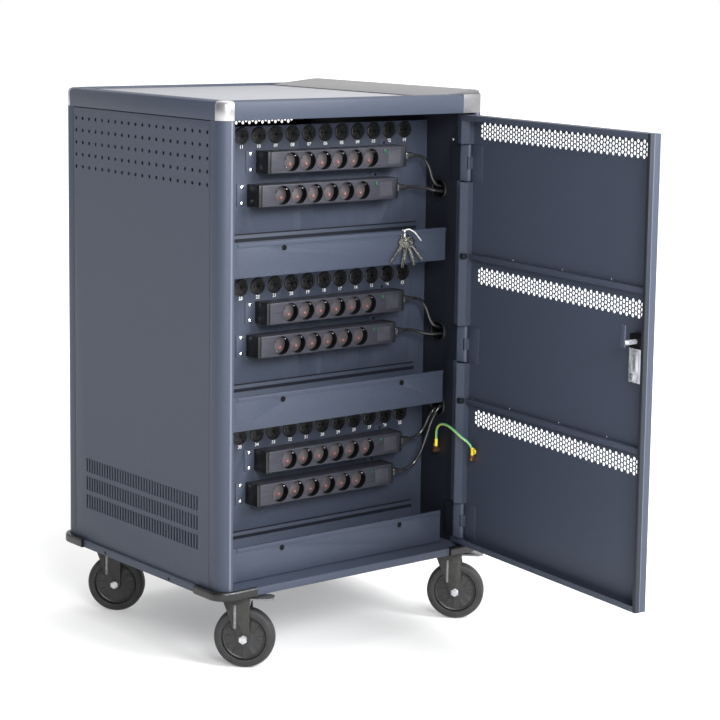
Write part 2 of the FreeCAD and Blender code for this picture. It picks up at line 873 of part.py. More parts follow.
# Cords: straight runs joined by tangent arcs, each as large as its two runs allow
def cord_tube(name, points, radius):
    edges = []
    radii = []
    start = points[0]
    for before, corner, after in zip(points, points[1:], points[2:]):
        shorter = min(corner.distanceToPoint(before), after.distanceToPoint(corner))
        heading_in = (corner - before).normalize()
        heading_out = (after - corner).normalize()
        half_turn = heading_in.getAngle(heading_out) / 2
        trim = cord_trim_share * shorter
        bend = trim / math.tan(half_turn)
        arc_start = corner - heading_in * trim
        arc_end = corner + heading_out * trim
        middle = corner + (heading_out - heading_in).normalize() * (bend / math.cos(half_turn) - bend)
        edges.append(Part.LineSegment(start, arc_start).toShape())
        edges.append(Part.Arc(arc_start, middle, arc_end).toShape())
        radii.append(round(bend, 1))
        start = arc_end
    edges.append(Part.LineSegment(start, points[-1]).toShape())
    path = Part.Wire(edges)
    along = (points[1] - points[0]).normalize()
    across = Vector(0, 1, 0)
    section = outline(polygon_points(cord_sides, radius, points[0], across, along.cross(across)))
    tube = path.makePipeShell([section], True, False)
    expected = Part.Face(section).Area * path.Length
    print(name, "bend radii", radii, "volume over section times length", round(tube.Volume / expected, 4))
    return tube


# Each route is measured from the right wall's face, the partition's face and its row of grommets
strip_cord_routes = (
    ((-64, -30, -53.5), (-38, -30, -53.5), (-18, -32, -81), (-13, -35, -108), (1, -38, -124),
     (22, -38, -124)),
    ((-86, -30, -121), (-60, -30, -121), (-30, -40, -126), (-1, -52, -134), (22, -52, -134)),
    ((-64, -30, -53.5), (-38, -30, -53.5), (-20, -33, -79), (-14, -37, -106), (0, -43, -122),
     (22, -43, -122)),
    ((-86, -30, -121), (-62, -30, -121), (-30, -41, -133), (-1, -56, -134), (22, -56, -134)),
    ((-64, -30, -53.5), (-38, -30, -53.5), (-19, -35, -27), (-14, -42, -3), (1, -46, 13), (22, -46, 13)),
    ((-86, -30, -121), (-56, -30, -121), (-34, -37, -87), (-23, -45, -47), (-17, -54, -11), (1, -59, 21),
     (22, -59, 21)),
)
# The earth wire's route is measured from the right wall's face, the body's front and the wall stud
earth_wire_route = ((-8, 86, 10), (-8, 86, 31), (-16, 76, 52), (-23, 56, 66), (-26, 32, 69), (-28, 6, 62),
    (-23, -13, 49), (-10, -26, 36), (-4.354, -29.536, 23), (-4.354, -29.536, 10))


def placed(route, start):
    return [Vector(*step) + start for step in route]


def strip_cords():
    starts = [Vector(inner_half, partition_face, row) for row in grommet_rows for drop in strip_drops]
    return [cord_tube("strip cord", placed(route, start), cord_radius)
            for route, start in zip(strip_cord_routes, starts)]


# Where the cords leave through the right inner wall
def ring_plate(sides, outer, bore, start, travel):
    across = Vector(0, 1, 0)
    return holed_plate(polygon_points(sides, outer, start, across, up),
                       [polygon_points(sides, bore, start, across, up)], travel)


def wall_grommets():
    pieces = []
    for y, z in wall_grommet_places:
        flange = ring_plate(wall_grommet_sides, wall_grommet_radius, wall_grommet_bore,
                            Vector(inner_half - wall_grommet_flange, y, z), Vector(wall_grommet_flange, 0, 0))
        neck = ring_plate(wall_grommet_sides, wall_grommet_neck, wall_grommet_bore, Vector(inner_half, y, z),
                          Vector(panel_sheet + wall_grommet_flange, 0, 0))
        pieces.append(flange.fuse(neck))
    return pieces


def terminal_boxes():
    return [block(panel_inside - terminal_depth, panel_inside, y - terminal_width / 2, y + terminal_width / 2,
                  z - terminal_height / 2, z + terminal_height / 2) for y, z in wall_grommet_places]


def mains_inlet():
    z = base_top + inlet_rise
    reach_y = inlet_width / 2
    reach_z = inlet_height / 2
    rim = block(half_width, half_width + inlet_rim_sheet, inlet_place - reach_y - inlet_rim,
                inlet_place + reach_y + inlet_rim, z - reach_z - inlet_rim, z + reach_z + inlet_rim)
    body = block(half_width - inlet_body_depth, half_width, inlet_place - reach_y, inlet_place + reach_y,
                 z - reach_z, z + reach_z)
    well = block(half_width - inlet_well_depth, half_width + inlet_rim_sheet + cut_overrun,
                 inlet_place - reach_y + inlet_well_margin, inlet_place + reach_y - inlet_well_margin,
                 z - reach_z + inlet_well_margin, z + reach_z - inlet_well_margin)
    return [body.fuse(rim).cut(well)]


# Keys hung from a tie through the upper tray's notch
def key_tie():
    x = tray_notch_offset
    half = tie_width / 2
    front = tray_face - tie_slack
    back = tray_face + tray_hem + tie_slack
    top = tray_lips[0] + tie_slack
    loop = block(x - half, x + half, front - tie_strap, back + tie_strap, notch_z - tie_strap,
                 top + tie_strap)
    return [loop.cut(block(x - half - cut_overrun, x + half + cut_overrun, front, back, notch_z, top))]


def keys():
    tie_front = tray_face - tie_slack - tie_strap
    ring_y = tie_front - key_gap - key_wire_radius
    ring_centre = Vector(tray_notch_offset, ring_y, notch_z)
    across = Vector(1, 0, 0)
    ring_front = ring_centre - Vector(0, key_wire_radius, 0)
    rim, eye = [polygon_points(key_ring_sides, radius, ring_front, across, up)
                for radius in (key_ring_radius + key_wire_radius, key_ring_radius - key_wire_radius)]
    ring = holed_plate(rim, [eye], Vector(0, 2 * key_wire_radius, 0))
    pieces = [ring]
    for index, angle in enumerate(key_angles):
        front = ring_y - key_wire_radius - (key_gap + key_sheet) * (index + 1)
        bow_centre = Vector(tray_notch_offset, front, notch_z - key_ring_radius)
        travel = Vector(0, key_sheet, 0)
        rim, eye = [polygon_points(key_bow_sides, radius, bow_centre, across, up)
                    for radius in (key_bow_radius, key_blade_width / 2)]
        bow = holed_plate(rim, [eye], travel)
        blade_top = bow_centre.z - key_blade_width
        blade = block(bow_centre.x - key_blade_width / 2, bow_centre.x + key_blade_width / 2, front,
                      front + key_sheet, bow_centre.z - key_length, blade_top)
        pieces.append(turned(bow.fuse(blade), -angle, ring_centre, Vector(0, 1, 0)))
    return pieces


# Device bays behind the partition
def device_shelves():
    pieces = []
    for floor in tray_floors:
        plate = block(-inner_half, inner_half, partition_back, shelf_back, floor, floor + panel_sheet)
        lip = block(-inner_half, inner_half, shelf_back - panel_sheet, shelf_back, floor, floor + shelf_lip)
        pieces.append(plate.fuse(lip).removeSplitter())
    return pieces


def slot_dividers():
    pieces = []
    for floor in tray_floors:
        low = floor + panel_sheet
        high = low + divider_height
        far_y = shelf_back - divider_setback
        for index in range(dividers_per_shelf):
            x = divider_pitch * (index - (dividers_per_shelf - 1) / 2) - divider_sheet / 2
            path = ((partition_back, low), (far_y, low), (far_y, high - divider_chamfer),
                    (far_y - divider_chamfer, high), (partition_back, high))
            pieces.append(prism([Vector(x, y, z) for y, z in path], Vector(divider_sheet, 0, 0)))
    return pieces


# Castors, built under the origin with the wheel trailing towards +X, then turned and moved to their corners
def upright_rod(radius, low_z, high_z):
    return Part.makeCylinder(radius, high_z - low_z, Vector(0, 0, low_z))


def cross_rod(radius, x, z, reach):
    return Part.makeCylinder(radius, 2 * reach, Vector(x, -reach, z), Vector(0, 1, 0))


def castor_plate():
    reach_x = castor_plate_length / 2
    reach_y = castor_plate_width / 2
    plate = block(-reach_x, reach_x, -reach_y, reach_y, plate_bottom, sheet_under)
    head_top = bridge_bottom - raceway_gap
    raceway = polygon_rod(raceway_sides, raceway_radius, Vector(0, 0, fork_top + raceway_gap),
                          Vector(0, 0, raceway_height))
    head = polygon_rod(hex_sides, kingpin_head_radius, Vector(0, 0, head_top - kingpin_head_height),
                       Vector(0, 0, kingpin_head_height))
    return plate.fuse([raceway, head, upright_rod(kingpin_radius, head_top, plate_bottom)])


def fork_leg(low_y):
    flat = axle_boss_radius * math.tan(math.pi / 8)
    foot_z = wheel_radius - axle_boss_radius
    path = ((fork_front - fork_top_width, bridge_bottom), (fork_front, bridge_bottom),
            (fork_front, wheel_radius), (castor_trail + flat, foot_z), (castor_trail - flat, foot_z),
            (castor_trail - axle_boss_radius, wheel_radius))
    return prism([Vector(x, low_y, z) for x, z in path], Vector(0, fork_sheet, 0))


def castor_fork(braked):
    shoulder_x = fork_front - fork_top_width
    nose_y = fork_outer / 2
    plan = ((fork_front, -fork_outer), (fork_front, fork_outer), (shoulder_x, fork_outer),
            (-bridge_back, nose_y), (-bridge_back, -nose_y), (shoulder_x, -fork_outer))
    bridge = prism([Vector(x, y, bridge_bottom) for x, y in plan], Vector(0, 0, bridge_sheet))
    head_y = fork_outer + axle_head_height
    joined = [fork_leg(-fork_outer), fork_leg(fork_inner),
              cross_rod(axle_radius, castor_trail, wheel_radius, fork_outer)]
    for low_y in (-head_y, fork_outer):
        joined.append(polygon_rod(hex_sides, axle_head_radius, Vector(castor_trail, low_y, wheel_radius),
                                  Vector(0, axle_head_height, 0)))
    if braked:
        joined.append(cross_rod(pedal_pin_radius, pedal_place, pedal_z, fork_outer))
    fork = bridge.fuse(joined).removeSplitter()
    return fork.cut(upright_rod(kingpin_radius + running_clearance, bridge_bottom - cut_overrun,
                                fork_top + cut_overrun))


def wheel_ring(profile):
    def place(radius, y, index):
        angle = math.pi * (2 * index + 1) / wheel_sides
        tip = radius / math.cos(math.pi / wheel_sides)
        return Vector(castor_trail + tip * math.cos(angle), y, wheel_radius + tip * math.sin(angle))

    faces = []
    for (radius, y), (next_radius, next_y) in zip(profile, profile[1:] + profile[:1]):
        for index in range(wheel_sides):
            corners = [place(radius, y, index), place(next_radius, next_y, index),
                       place(next_radius, next_y, index + 1), place(radius, y, index + 1)]
            faces.append(Part.Face(outline(corners)))
    ring = Part.Solid(Part.makeShell(faces))
    return ring if ring.Volume > 0 else ring.reversed()


def castor_hub():
    half_path = [(axle_radius / 2, fork_inner - hub_boss_gap), (hub_boss_radius, fork_inner - hub_boss_gap),
                 (hub_boss_radius, hub_web / 2), (hub_radius - hub_rim, hub_web / 2),
                 (hub_radius - hub_rim, hub_width / 2), (hub_radius, hub_width / 2)]
    far_path = [(radius, -y) for radius, y in reversed(half_path)]
    bore = cross_rod(axle_radius + running_clearance, castor_trail, wheel_radius, fork_outer)
    return wheel_ring(half_path + far_path).removeSplitter().cut(bore)


def castor_tyre():
    half = wheel_width / 2
    shoulder = wheel_radius - tread_drop
    crown = half - tread_drop
    return wheel_ring([(hub_radius, -half), (shoulder, -half), (wheel_radius, -crown), (wheel_radius, crown),
                       (shoulder, half), (hub_radius, half)]).removeSplitter()


def brake_pedal():
    half = pedal_body_length / 2
    rise = pedal_body_height / 2
    reach_y = fork_inner - pedal_side_gap
    body = block(pedal_place - half, pedal_place + half, -reach_y, reach_y, pedal_z - rise, pedal_z + rise)
    shoe_half = pedal_shoe_length / 2
    shoe = block(pedal_place - shoe_half, pedal_place + shoe_half, -pedal_shoe_width / 2,
                 pedal_shoe_width / 2, pedal_z - rise - pedal_shoe_drop, pedal_z - rise)
    near_x = pedal_place + half
    far_x = near_x + pedal_reach
    edge_y = pedal_width / 2
    plan = ((near_x, -edge_y), (far_x - pedal_chamfer, -edge_y), (far_x, pedal_chamfer - edge_y),
            (far_x, edge_y - pedal_chamfer), (far_x - pedal_chamfer, edge_y), (near_x, edge_y))
    tab = prism([Vector(x, y, pedal_z + rise - pedal_sheet) for x, y in plan], Vector(0, 0, pedal_sheet))
    bore = cross_rod(pedal_pin_radius + running_clearance, pedal_place, pedal_z, fork_outer)
    return body.fuse([shoe, tab]).cut(bore)


castor_corners = {"front_left": (-1, -1), "front_right": (1, -1), "rear_left": (-1, 1), "rear_right": (1, 1)}


def at_corner(shape, corner, angle):
    side_x, side_y = castor_corners[corner]
    place = Vector(side_x * (half_width - castor_inset), side_y * (half_depth - castor_inset), 0)
    return [moved(turned(shape, angle), place)]


def save_castors():
    plates = []
    for corner, (side_x, side_y) in castor_corners.items():
        braked = side_y < 0
        plates += at_corner(castor_plate(), corner, 0)
        save(corner + "_castor_fork", at_corner(castor_fork(braked), corner, castor_angle))
        save(corner + "_castor_hub", at_corner(castor_hub(), corner, castor_angle))
        save(corner + "_castor_tyre", at_corner(castor_tyre(), corner, castor_angle))
        if braked:
            save(corner + "_brake_pedal", at_corner(brake_pedal(), corner, castor_angle))
    save("castor_plates", plates)


def save_doors():
    pan = [door_pan()]
    save("front_door", opened(pan))
    save("front_door_bars", opened(door_bars()))
    save("front_door_hinge_leaves", opened(door_leaves()))
    save("front_lock_case", opened(lock_case()))
    save("front_handle", opened(door_handle()))
    save("door_earth_stud", opened(door_earth_stud()))
    save("front_hinges", fixed_hinges())
    save("rear_door", to_back(pan))
    save("rear_door_bars", to_back(door_bars()))
    save("rear_door_hinge_leaves", to_back(door_leaves()))
    save("rear_lock_case", to_back(lock_case()))
    save("rear_handle", to_back(door_handle()))
    save("rear_hinges", to_back(fixed_hinges()))


def save_body():
    save("base_pan", base_pan())
    save("base_bumpers", base_bumpers())
    save("corner_posts", corner_posts())
    save("side_panels", side_panels())
    save("inner_walls", inner_walls())
    save("top_rails", top_rails())
    save("top_corner_caps", top_corner_caps())
    save("top_panel", top_panel())
    save("push_handle", push_handle())
    save("handle_end_caps", handle_end_caps())
    save("device_shelves", device_shelves())
    save("slot_dividers", slot_dividers())


def save_power_bay():
    save("partition_panel", partition_panel())
    save("cable_grommets", cable_grommets())
    for level, lip in zip(("upper", "middle", "lower"), tray_lips):
        save("charger_tray_" + level, charger_tray(lip))
    save("power_strips", [power_strip(left, middle) for left, middle in strip_places()])
    save("socket_inserts", socket_inserts())
    save("strip_end_caps", strip_end_caps())
    save("strip_brackets", strip_brackets())
    save("strip_lamps", strip_lamps())
    save("gland_nuts", gland_nuts())
    save("cord_glands", cord_glands())
    save("strip_cords", strip_cords())
    save("wall_grommets", wall_grommets())
    save("terminal_boxes", terminal_boxes())
    save("mains_inlet", mains_inlet())
    wall_stud = Vector(inner_half, -half_depth + earth_wall_setback, earth_z)
    save("wall_earth_stud", earth_stud(wall_stud, Vector(-1, 0, 0)))
    wire_start = Vector(inner_half, -half_depth, earth_z)
    save("earth_wire", [cord_tube("earth wire", placed(earth_wire_route, wire_start), earth_wire_radius)])
    save("key_tie", key_tie())
    save("keys", keys())


os.makedirs("parts", exist_ok=True)
save_body()
save_doors()
save_power_bay()
save_castors()
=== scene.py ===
import json
import math

import bmesh
import bpy
from mathutils import Matrix, Vector

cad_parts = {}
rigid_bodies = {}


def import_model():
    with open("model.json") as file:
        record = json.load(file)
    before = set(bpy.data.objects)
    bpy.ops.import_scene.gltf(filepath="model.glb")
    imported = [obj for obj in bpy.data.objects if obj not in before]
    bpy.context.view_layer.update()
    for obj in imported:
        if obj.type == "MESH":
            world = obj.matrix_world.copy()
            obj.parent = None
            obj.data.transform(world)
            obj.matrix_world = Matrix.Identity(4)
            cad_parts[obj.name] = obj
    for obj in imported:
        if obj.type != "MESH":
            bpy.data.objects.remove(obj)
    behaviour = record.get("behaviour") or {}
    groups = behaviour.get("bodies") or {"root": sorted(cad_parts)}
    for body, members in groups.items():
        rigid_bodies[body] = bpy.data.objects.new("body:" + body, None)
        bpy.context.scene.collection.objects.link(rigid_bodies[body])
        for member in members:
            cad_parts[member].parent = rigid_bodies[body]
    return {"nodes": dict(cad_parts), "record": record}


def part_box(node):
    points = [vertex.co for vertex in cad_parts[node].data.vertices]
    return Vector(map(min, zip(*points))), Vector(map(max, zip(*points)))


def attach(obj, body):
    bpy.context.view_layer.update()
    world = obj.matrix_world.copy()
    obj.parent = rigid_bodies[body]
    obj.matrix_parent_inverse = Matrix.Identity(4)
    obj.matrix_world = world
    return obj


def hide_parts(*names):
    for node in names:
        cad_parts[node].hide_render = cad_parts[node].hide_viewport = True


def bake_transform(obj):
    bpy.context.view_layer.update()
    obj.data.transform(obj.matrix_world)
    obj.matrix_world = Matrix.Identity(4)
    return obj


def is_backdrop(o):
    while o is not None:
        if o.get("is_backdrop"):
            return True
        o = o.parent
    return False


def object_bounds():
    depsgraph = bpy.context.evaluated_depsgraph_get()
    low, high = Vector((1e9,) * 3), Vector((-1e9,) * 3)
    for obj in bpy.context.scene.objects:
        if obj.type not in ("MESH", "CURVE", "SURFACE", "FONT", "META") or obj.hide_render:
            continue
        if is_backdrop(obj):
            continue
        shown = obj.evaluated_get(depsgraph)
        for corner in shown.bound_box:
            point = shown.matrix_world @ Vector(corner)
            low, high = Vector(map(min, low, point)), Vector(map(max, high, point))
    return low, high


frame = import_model()
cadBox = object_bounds()
for leftover in ("Cube", "Light", "Camera"):
    if leftover in bpy.data.objects:
        bpy.data.objects.remove(bpy.data.objects[leftover])

sceneObjects = bpy.context.scene.collection.objects
bodyOf = {node: body for body, nodes in frame["record"]["behaviour"]["bodies"].items() for node in nodes}
slotOf = {row["node"]: row["material_slot"] for row in frame["record"]["subparts"]}
zAxis = Vector((0, 0, 1))
toBack, toFront, toRight = (0, 1, 0), (0, -1, 0), (1, 0, 0)

# lengths below are millimetres; addPiece scales the mesh to metres
mm = 0.001
cabinet = {"halfWidth": 340.0, "baseTop": 172.0, "fasciaBottom": 1113.0, "sheet": 1.5,
           "partitionFace": -155.0,
           "innerWall": 300.0, "wallFront": 257.0, "tierTops": (1071.0, 760.0, 449.0)}
doorHinge = {"pin": Vector((302.0, -293.0, 0.0)), "openAngle": 84.0}


# materials
surface = {"coatGloss": 0.3, "coatSpeckle": 1.7, "coatSpread": (0.3, 0.7), "coatBump": (0.22, 0.0006),
           "metalBump": (0.06, 0.0003), "cloud": 40.0, "plasticDepth": 0.0004, "sleeveRough": 0.35,
           "sleeveGrain": 900.0, "sleeveBump": (0.05, 0.0003)}


def newMaterial(name):
    made = bpy.data.materials.new(name)
    made.use_nodes = True
    tree = made.node_tree
    return made, tree, tree.nodes["Principled BSDF"]


def objectNoise(tree, scale, detail=3.0, stretch=(1, 1, 1)):
    place = tree.nodes.new("ShaderNodeTexCoord")
    mapping = tree.nodes.new("ShaderNodeMapping")
    mapping.inputs["Scale"].default_value = stretch
    noise = tree.nodes.new("ShaderNodeTexNoise")
    noise.inputs["Scale"].default_value = scale
    noise.inputs["Detail"].default_value = detail
    tree.links.new(place.outputs["Object"], mapping.inputs["Vector"])
    tree.links.new(mapping.outputs["Vector"], noise.inputs["Vector"])
    return noise.outputs["Fac"]


def rangeNode(tree, fromLow, fromHigh, toLow, toHigh):
    node = tree.nodes.new("ShaderNodeMapRange")
    sockets = ("From Min", "From Max", "To Min", "To Max")
    for socket, value in zip(sockets, (fromLow, fromHigh, toLow, toHigh)):
        node.inputs[socket].default_value = value
    return node


def tint(tree, shader, factor, dark, light, low=0.35, high=0.65):
    ramp = tree.nodes.new("ShaderNodeValToRGB")
    for stop, position, colour in zip(ramp.color_ramp.elements, (low, high), (dark, light)):
        stop.position = position
        stop.color = (*colour, 1)
    tree.links.new(factor, ramp.inputs["Fac"])
    tree.links.new(ramp.outputs["Color"], shader.inputs["Base Color"])
    return ramp


def roughBy(tree, shader, factor, low, high):
    span = rangeNode(tree, 0.0, 1.0, low, high)
    tree.links.new(factor, span.inputs["Value"])
    tree.links.new(span.outputs["Result"], shader.inputs["Roughness"])


def bumpBy(tree, shader, height, strength, distance):
    bump = tree.nodes.new("ShaderNodeBump")
    bump.inputs["Strength"].default_value = strength
    bump.inputs["Distance"].default_value = distance
    tree.links.new(height, bump.inputs["Height"])
    tree.links.new(bump.outputs["Normal"], shader.inputs["Normal"])


def powderCoat(name, dark, light, rough=(0.42, 0.6), grain=700.0):
    made, tree, shader = newMaterial(name)
    orange = objectNoise(tree, grain, 4.0)  # orange-peel texture of the coating
    speckle = objectNoise(tree, grain * surface["coatSpeckle"], 2.0)
    tint(tree, shader, speckle, dark, light, *surface["coatSpread"])
    shader.inputs["Specular IOR Level"].default_value = surface["coatGloss"]
    roughBy(tree, shader, orange, *rough)
    bumpBy(tree, shader, orange, *surface["coatBump"])
    return made


def metalFinish(name, dark, light, rough, scale, metallic=1.0, stretch=(1, 1, 1)):
    made, tree, shader = newMaterial(name)
    shader.inputs["Metallic"].default_value = metallic
    streak = objectNoise(tree, scale, 5.0, stretch)
    tint(tree, shader, streak, dark, light)
    roughBy(tree, shader, streak, *rough)
    bumpBy(tree, shader, streak, *surface["metalBump"])
    return made


def plasticFinish(name, dark, light, rough, grain=1500.0, bump=0.1, coat=0.0, gloss=0.5):
    made, tree, shader = newMaterial(name)
    shader.inputs["Specular IOR Level"].default_value = gloss
    shader.inputs["Coat Weight"].default_value = coat
    texture = objectNoise(tree, grain)
    cloud = objectNoise(tree, surface["cloud"], 2.0)
    tint(tree, shader, cloud, dark, light)
    roughBy(tree, shader, texture, *rough)
    bumpBy(tree, shader, texture, bump, surface["plasticDepth"])
    return made


def stripedSleeve(name, green, yellow, turnShare):
    made, tree, shader = newMaterial(name)
    shader.inputs["Roughness"].default_value = surface["sleeveRough"]
    place = tree.nodes.new("ShaderNodeUVMap")
    split = tree.nodes.new("ShaderNodeSeparateXYZ")
    tree.links.new(place.outputs["UV"], split.inputs["Vector"])
    stripe = tint(tree, shader, split.outputs["Y"], green, yellow, 0.0, turnShare)
    stripe.color_ramp.interpolation = "CONSTANT"
    bumpBy(tree, shader, objectNoise(tree, surface["sleeveGrain"]), *surface["sleeveBump"])
    return made


finishes = {
    "body_paint": powderCoat("anthracitePowderCoat", (0.027, 0.034, 0.052), (0.049, 0.060, 0.090)),
    "top_grey": powderCoat("topPanelPaint", (0.20, 0.205, 0.225), (0.25, 0.255, 0.275), (0.35, 0.5)),
    "silver": metalFinish("satinSilver", (0.115, 0.113, 0.118), (0.15, 0.148, 0.154), (0.34, 0.45), 90.0, 0.2,
                          (6, 6, 1)),
    "dark_plastic": plasticFinish("darkMoulding", (0.012, 0.012, 0.014), (0.024, 0.024, 0.027), (0.4, 0.6)),
    "black_rubber": plasticFinish("blackRubber", (0.003, 0.003, 0.0035), (0.007, 0.007, 0.008),
                                  (0.28, 0.42), 900.0),
    "strip_metal": metalFinish("stripCasing", (0.022, 0.023, 0.033), (0.036, 0.037, 0.05), (0.42, 0.55),
                               700.0, 0.15, (0.05, 1, 1)),
    "zinc_steel": metalFinish("zincPlate", (0.42, 0.43, 0.45), (0.62, 0.63, 0.65), (0.28, 0.45), 160.0),
    "socket_plastic": plasticFinish("socketFloor", (0.046, 0.039, 0.043), (0.072, 0.061, 0.067), (0.5, 0.65)),
    "lamp_green": plasticFinish("lampLens", (0.014, 0.06, 0.032), (0.03, 0.10, 0.055), (0.15, 0.25), 300.0,
                                0.02, 0.5),
    "cord_black": plasticFinish("cordSheath", (0.012, 0.012, 0.013), (0.022, 0.022, 0.024), (0.12, 0.2),
                                1200.0, 0.04, 0.6),
    "earth_sleeve": stripedSleeve("earthSleeve", (0.10, 0.42, 0.20), (0.62, 0.62, 0.10), 0.82),
    "copper": metalFinish("copperStud", (0.55, 0.27, 0.12), (0.78, 0.45, 0.22), (0.25, 0.4), 250.0),
    "lock_chrome": metalFinish("polishedChrome", (0.70, 0.71, 0.73), (0.82, 0.83, 0.85), (0.08, 0.18), 60.0),
    "tie_white": plasticFinish("tieNylon", (0.66, 0.66, 0.64), (0.8, 0.8, 0.78), (0.4, 0.55)),
    "hub_grey": plasticFinish("hubNylon", (0.012, 0.012, 0.0125), (0.020, 0.020, 0.0215),
                              (0.38, 0.55), 800.0),
    "tyre_grey": plasticFinish("tyreRubber", (0.010, 0.010, 0.011), (0.019, 0.019, 0.020),
                               (0.5, 0.7), 700.0, 0.2),
}
boltMetal = metalFinish("brightScrew", (0.72, 0.73, 0.74), (0.88, 0.88, 0.9), (0.18, 0.3), 300.0)
numberPaint = plasticFinish("numberInk", (0.78, 0.78, 0.78), (0.88, 0.88, 0.88), (0.5, 0.6))
shutterRed = plasticFinish("socketShutter", (0.105, 0.038, 0.038), (0.14, 0.05, 0.05), (0.35, 0.5))
# pale pink dot on each shutter: a painted highlight
shutterHighlightPaint = plasticFinish("shutterHighlight", (0.26, 0.15, 0.14), (0.34, 0.20, 0.19), (0.25, 0.4))
wellBlack = plasticFinish("socketWell", (0.0012, 0.0012, 0.0014), (0.003, 0.003, 0.0034), (0.45, 0.6),
                          gloss=0.15)
plateGrey = plasticFinish("blankPlate", (0.030, 0.031, 0.040), (0.046, 0.047, 0.058), (0.4, 0.5))
membraneBlack = plasticFinish("grommetMembrane", (0.004, 0.004, 0.004), (0.009, 0.009, 0.010), (0.35, 0.5),
                              900.0)
bumperBlack = plasticFinish("bumperGloss", (0.003, 0.003, 0.0035), (0.006, 0.006, 0.007), (0.3, 0.42),
                            500.0, 0.05)
keyNickel = metalFinish("keyNickel", (0.26, 0.25, 0.23), (0.42, 0.41, 0.38), (0.2, 0.32), 200.0)
# zinc of the brake pedals, also used as a painted sheen on the folds of the castor forks
pedalZinc = metalFinish("pedalZinc", (0.15, 0.15, 0.157), (0.24, 0.24, 0.25), (0.28, 0.4), 150.0, 0.8)
# a near-black copy of the body paint: painted shade on the inner walls, the tray bands, under the door bars,
# on the door lip and on the back of the hinges
bayShadePaint = powderCoat("bayShadePaint", (0.005, 0.0065, 0.011), (0.010, 0.012, 0.019))
earthYellow = plasticFinish("earthDisc", (0.70, 0.52, 0.02), (0.85, 0.66, 0.05), (0.4, 0.5))
capSilver = metalFinish("castCap", (0.34, 0.335, 0.345), (0.44, 0.435, 0.445), (0.24, 0.34), 60.0, 0.8,
                        (1, 1, 0.2))
bracketPaint = powderCoat("bracketPaint", (0.034, 0.042, 0.064), (0.055, 0.067, 0.10), (0.4, 0.55), 900.0)
# a lighter copy of the body paint that paints light onto the hinges, which sit in shade
hingeHighlightPaint = powderCoat("hingeHighlightPaint", (0.048, 0.058, 0.084), (0.084, 0.10, 0.14), (0.3, 0.45), 900.0)
# near-black copy of the body paint: painted shade on the fold behind the doors' free edge
foldShadePaint = powderCoat("paintedFoldShade", (0.010, 0.013, 0.019), (0.018, 0.023, 0.032))
# a lighter copy of the body paint: painted highlight on the posts' jamb edges and on a band of the doors'
# free edge
edgeHighlightPaint = powderCoat("paintedEdgeHighlight", (0.085, 0.094, 0.125), (0.125, 0.138, 0.18), (0.25, 0.38), 900.0)
blockSilver = metalFinish("handleBlock", (0.085, 0.084, 0.092), (0.12, 0.119, 0.128), (0.36, 0.46), 90.0, 0.2)
lockSatin = metalFinish("lockSatin", (0.36, 0.37, 0.40), (0.66, 0.68, 0.72), (0.2, 0.36), 90.0, 0.45,
                        (1, 1, 0.3))
forkBlack = metalFinish("blackZinc", (0.018, 0.018, 0.017), (0.03, 0.03, 0.028), (0.34, 0.48), 120.0, 0.3)
print("materials ready:", len(bpy.data.materials))


# mesh helpers
meshRules = {"weld": 0.0005, "smoothUnder": 32.0, "rimAngle": 1.0}
dome = {"sunk": 0.2, "shoulder": 0.35, "crown": (0.72, 0.85), "tip": 0.05}


def camelName(words, ending):
    first, *others = words.split("_")
    return first + "".join(word.capitalize() for word in others) + ending


def spread(count, pitch, middle=0.0):
    return [middle + pitch * (index - (count - 1) / 2) for index in range(count)]


def easeEdges(bm, edges, width, steps):
    return bmesh.ops.bevel(bm, geom=edges, offset=width, offset_type="OFFSET", segments=steps, profile=0.5,
                           affect="EDGES", material=-1)


def cutPlane(bm, place, way):
    bmesh.ops.bisect_plane(bm, geom=bm.verts[:] + bm.edges[:] + bm.faces[:], plane_co=place, plane_no=way)


def shapeBox(bm, low, high, ease=0.0, steps=2):
    centre = [(a + b) / 2 for a, b in zip(low, high)]
    size = [b - a for a, b in zip(low, high)]
    made = bmesh.ops.create_cube(bm, size=1.0)["verts"]
    bmesh.ops.scale(bm, vec=size, verts=made)
    bmesh.ops.translate(bm, vec=centre, verts=made)
    if ease:
        easeEdges(bm, list({edge for vert in made for edge in vert.link_edges}), ease, steps)


def shapeSpin(bm, profile, centre, axis, across, sides):
    # profile: (radius, distance along the axis) pairs
    axis, across = Vector(axis).normalized(), Vector(across).normalized()
    verts = [bm.verts.new(Vector(centre) + across * radius + axis * along) for radius, along in profile]
    edges = [bm.edges.new(pair) for pair in zip(verts, verts[1:])]
    bmesh.ops.spin(bm, geom=verts + edges, cent=centre, axis=axis, angle=2 * math.pi, steps=sides,
                   use_merge=True, use_duplicate=False)


def shapeDisc(bm, centre, axis, radius, depth, sides, ease=0.0):
    quarter = zAxis.rotation_difference(Vector(axis)).to_matrix().to_4x4()
    place = Matrix.Translation(Vector(centre) + Vector(axis).normalized() * depth / 2) @ quarter
    made = bmesh.ops.create_cone(bm, cap_ends=True, segments=sides, radius1=radius, radius2=radius,
                                 depth=depth, matrix=place)["verts"]
    if ease:
        edges = {edge for vert in made for edge in vert.link_edges}
        easeEdges(bm, [edge for edge in edges if edge.calc_face_angle(0.0) > meshRules["rimAngle"]], ease, 2)


def shapeDome(bm, centre, axis, radius, rise, sides=10):
    axis = Vector(axis).normalized()
    inset, height = dome["crown"]
    profile = ((radius, -dome["sunk"]), (radius, rise * dome["shoulder"]), (radius * inset, rise * height),
               (dome["tip"], rise))
    shapeSpin(bm, profile, Vector(centre), axis, axis.orthogonal(), sides)


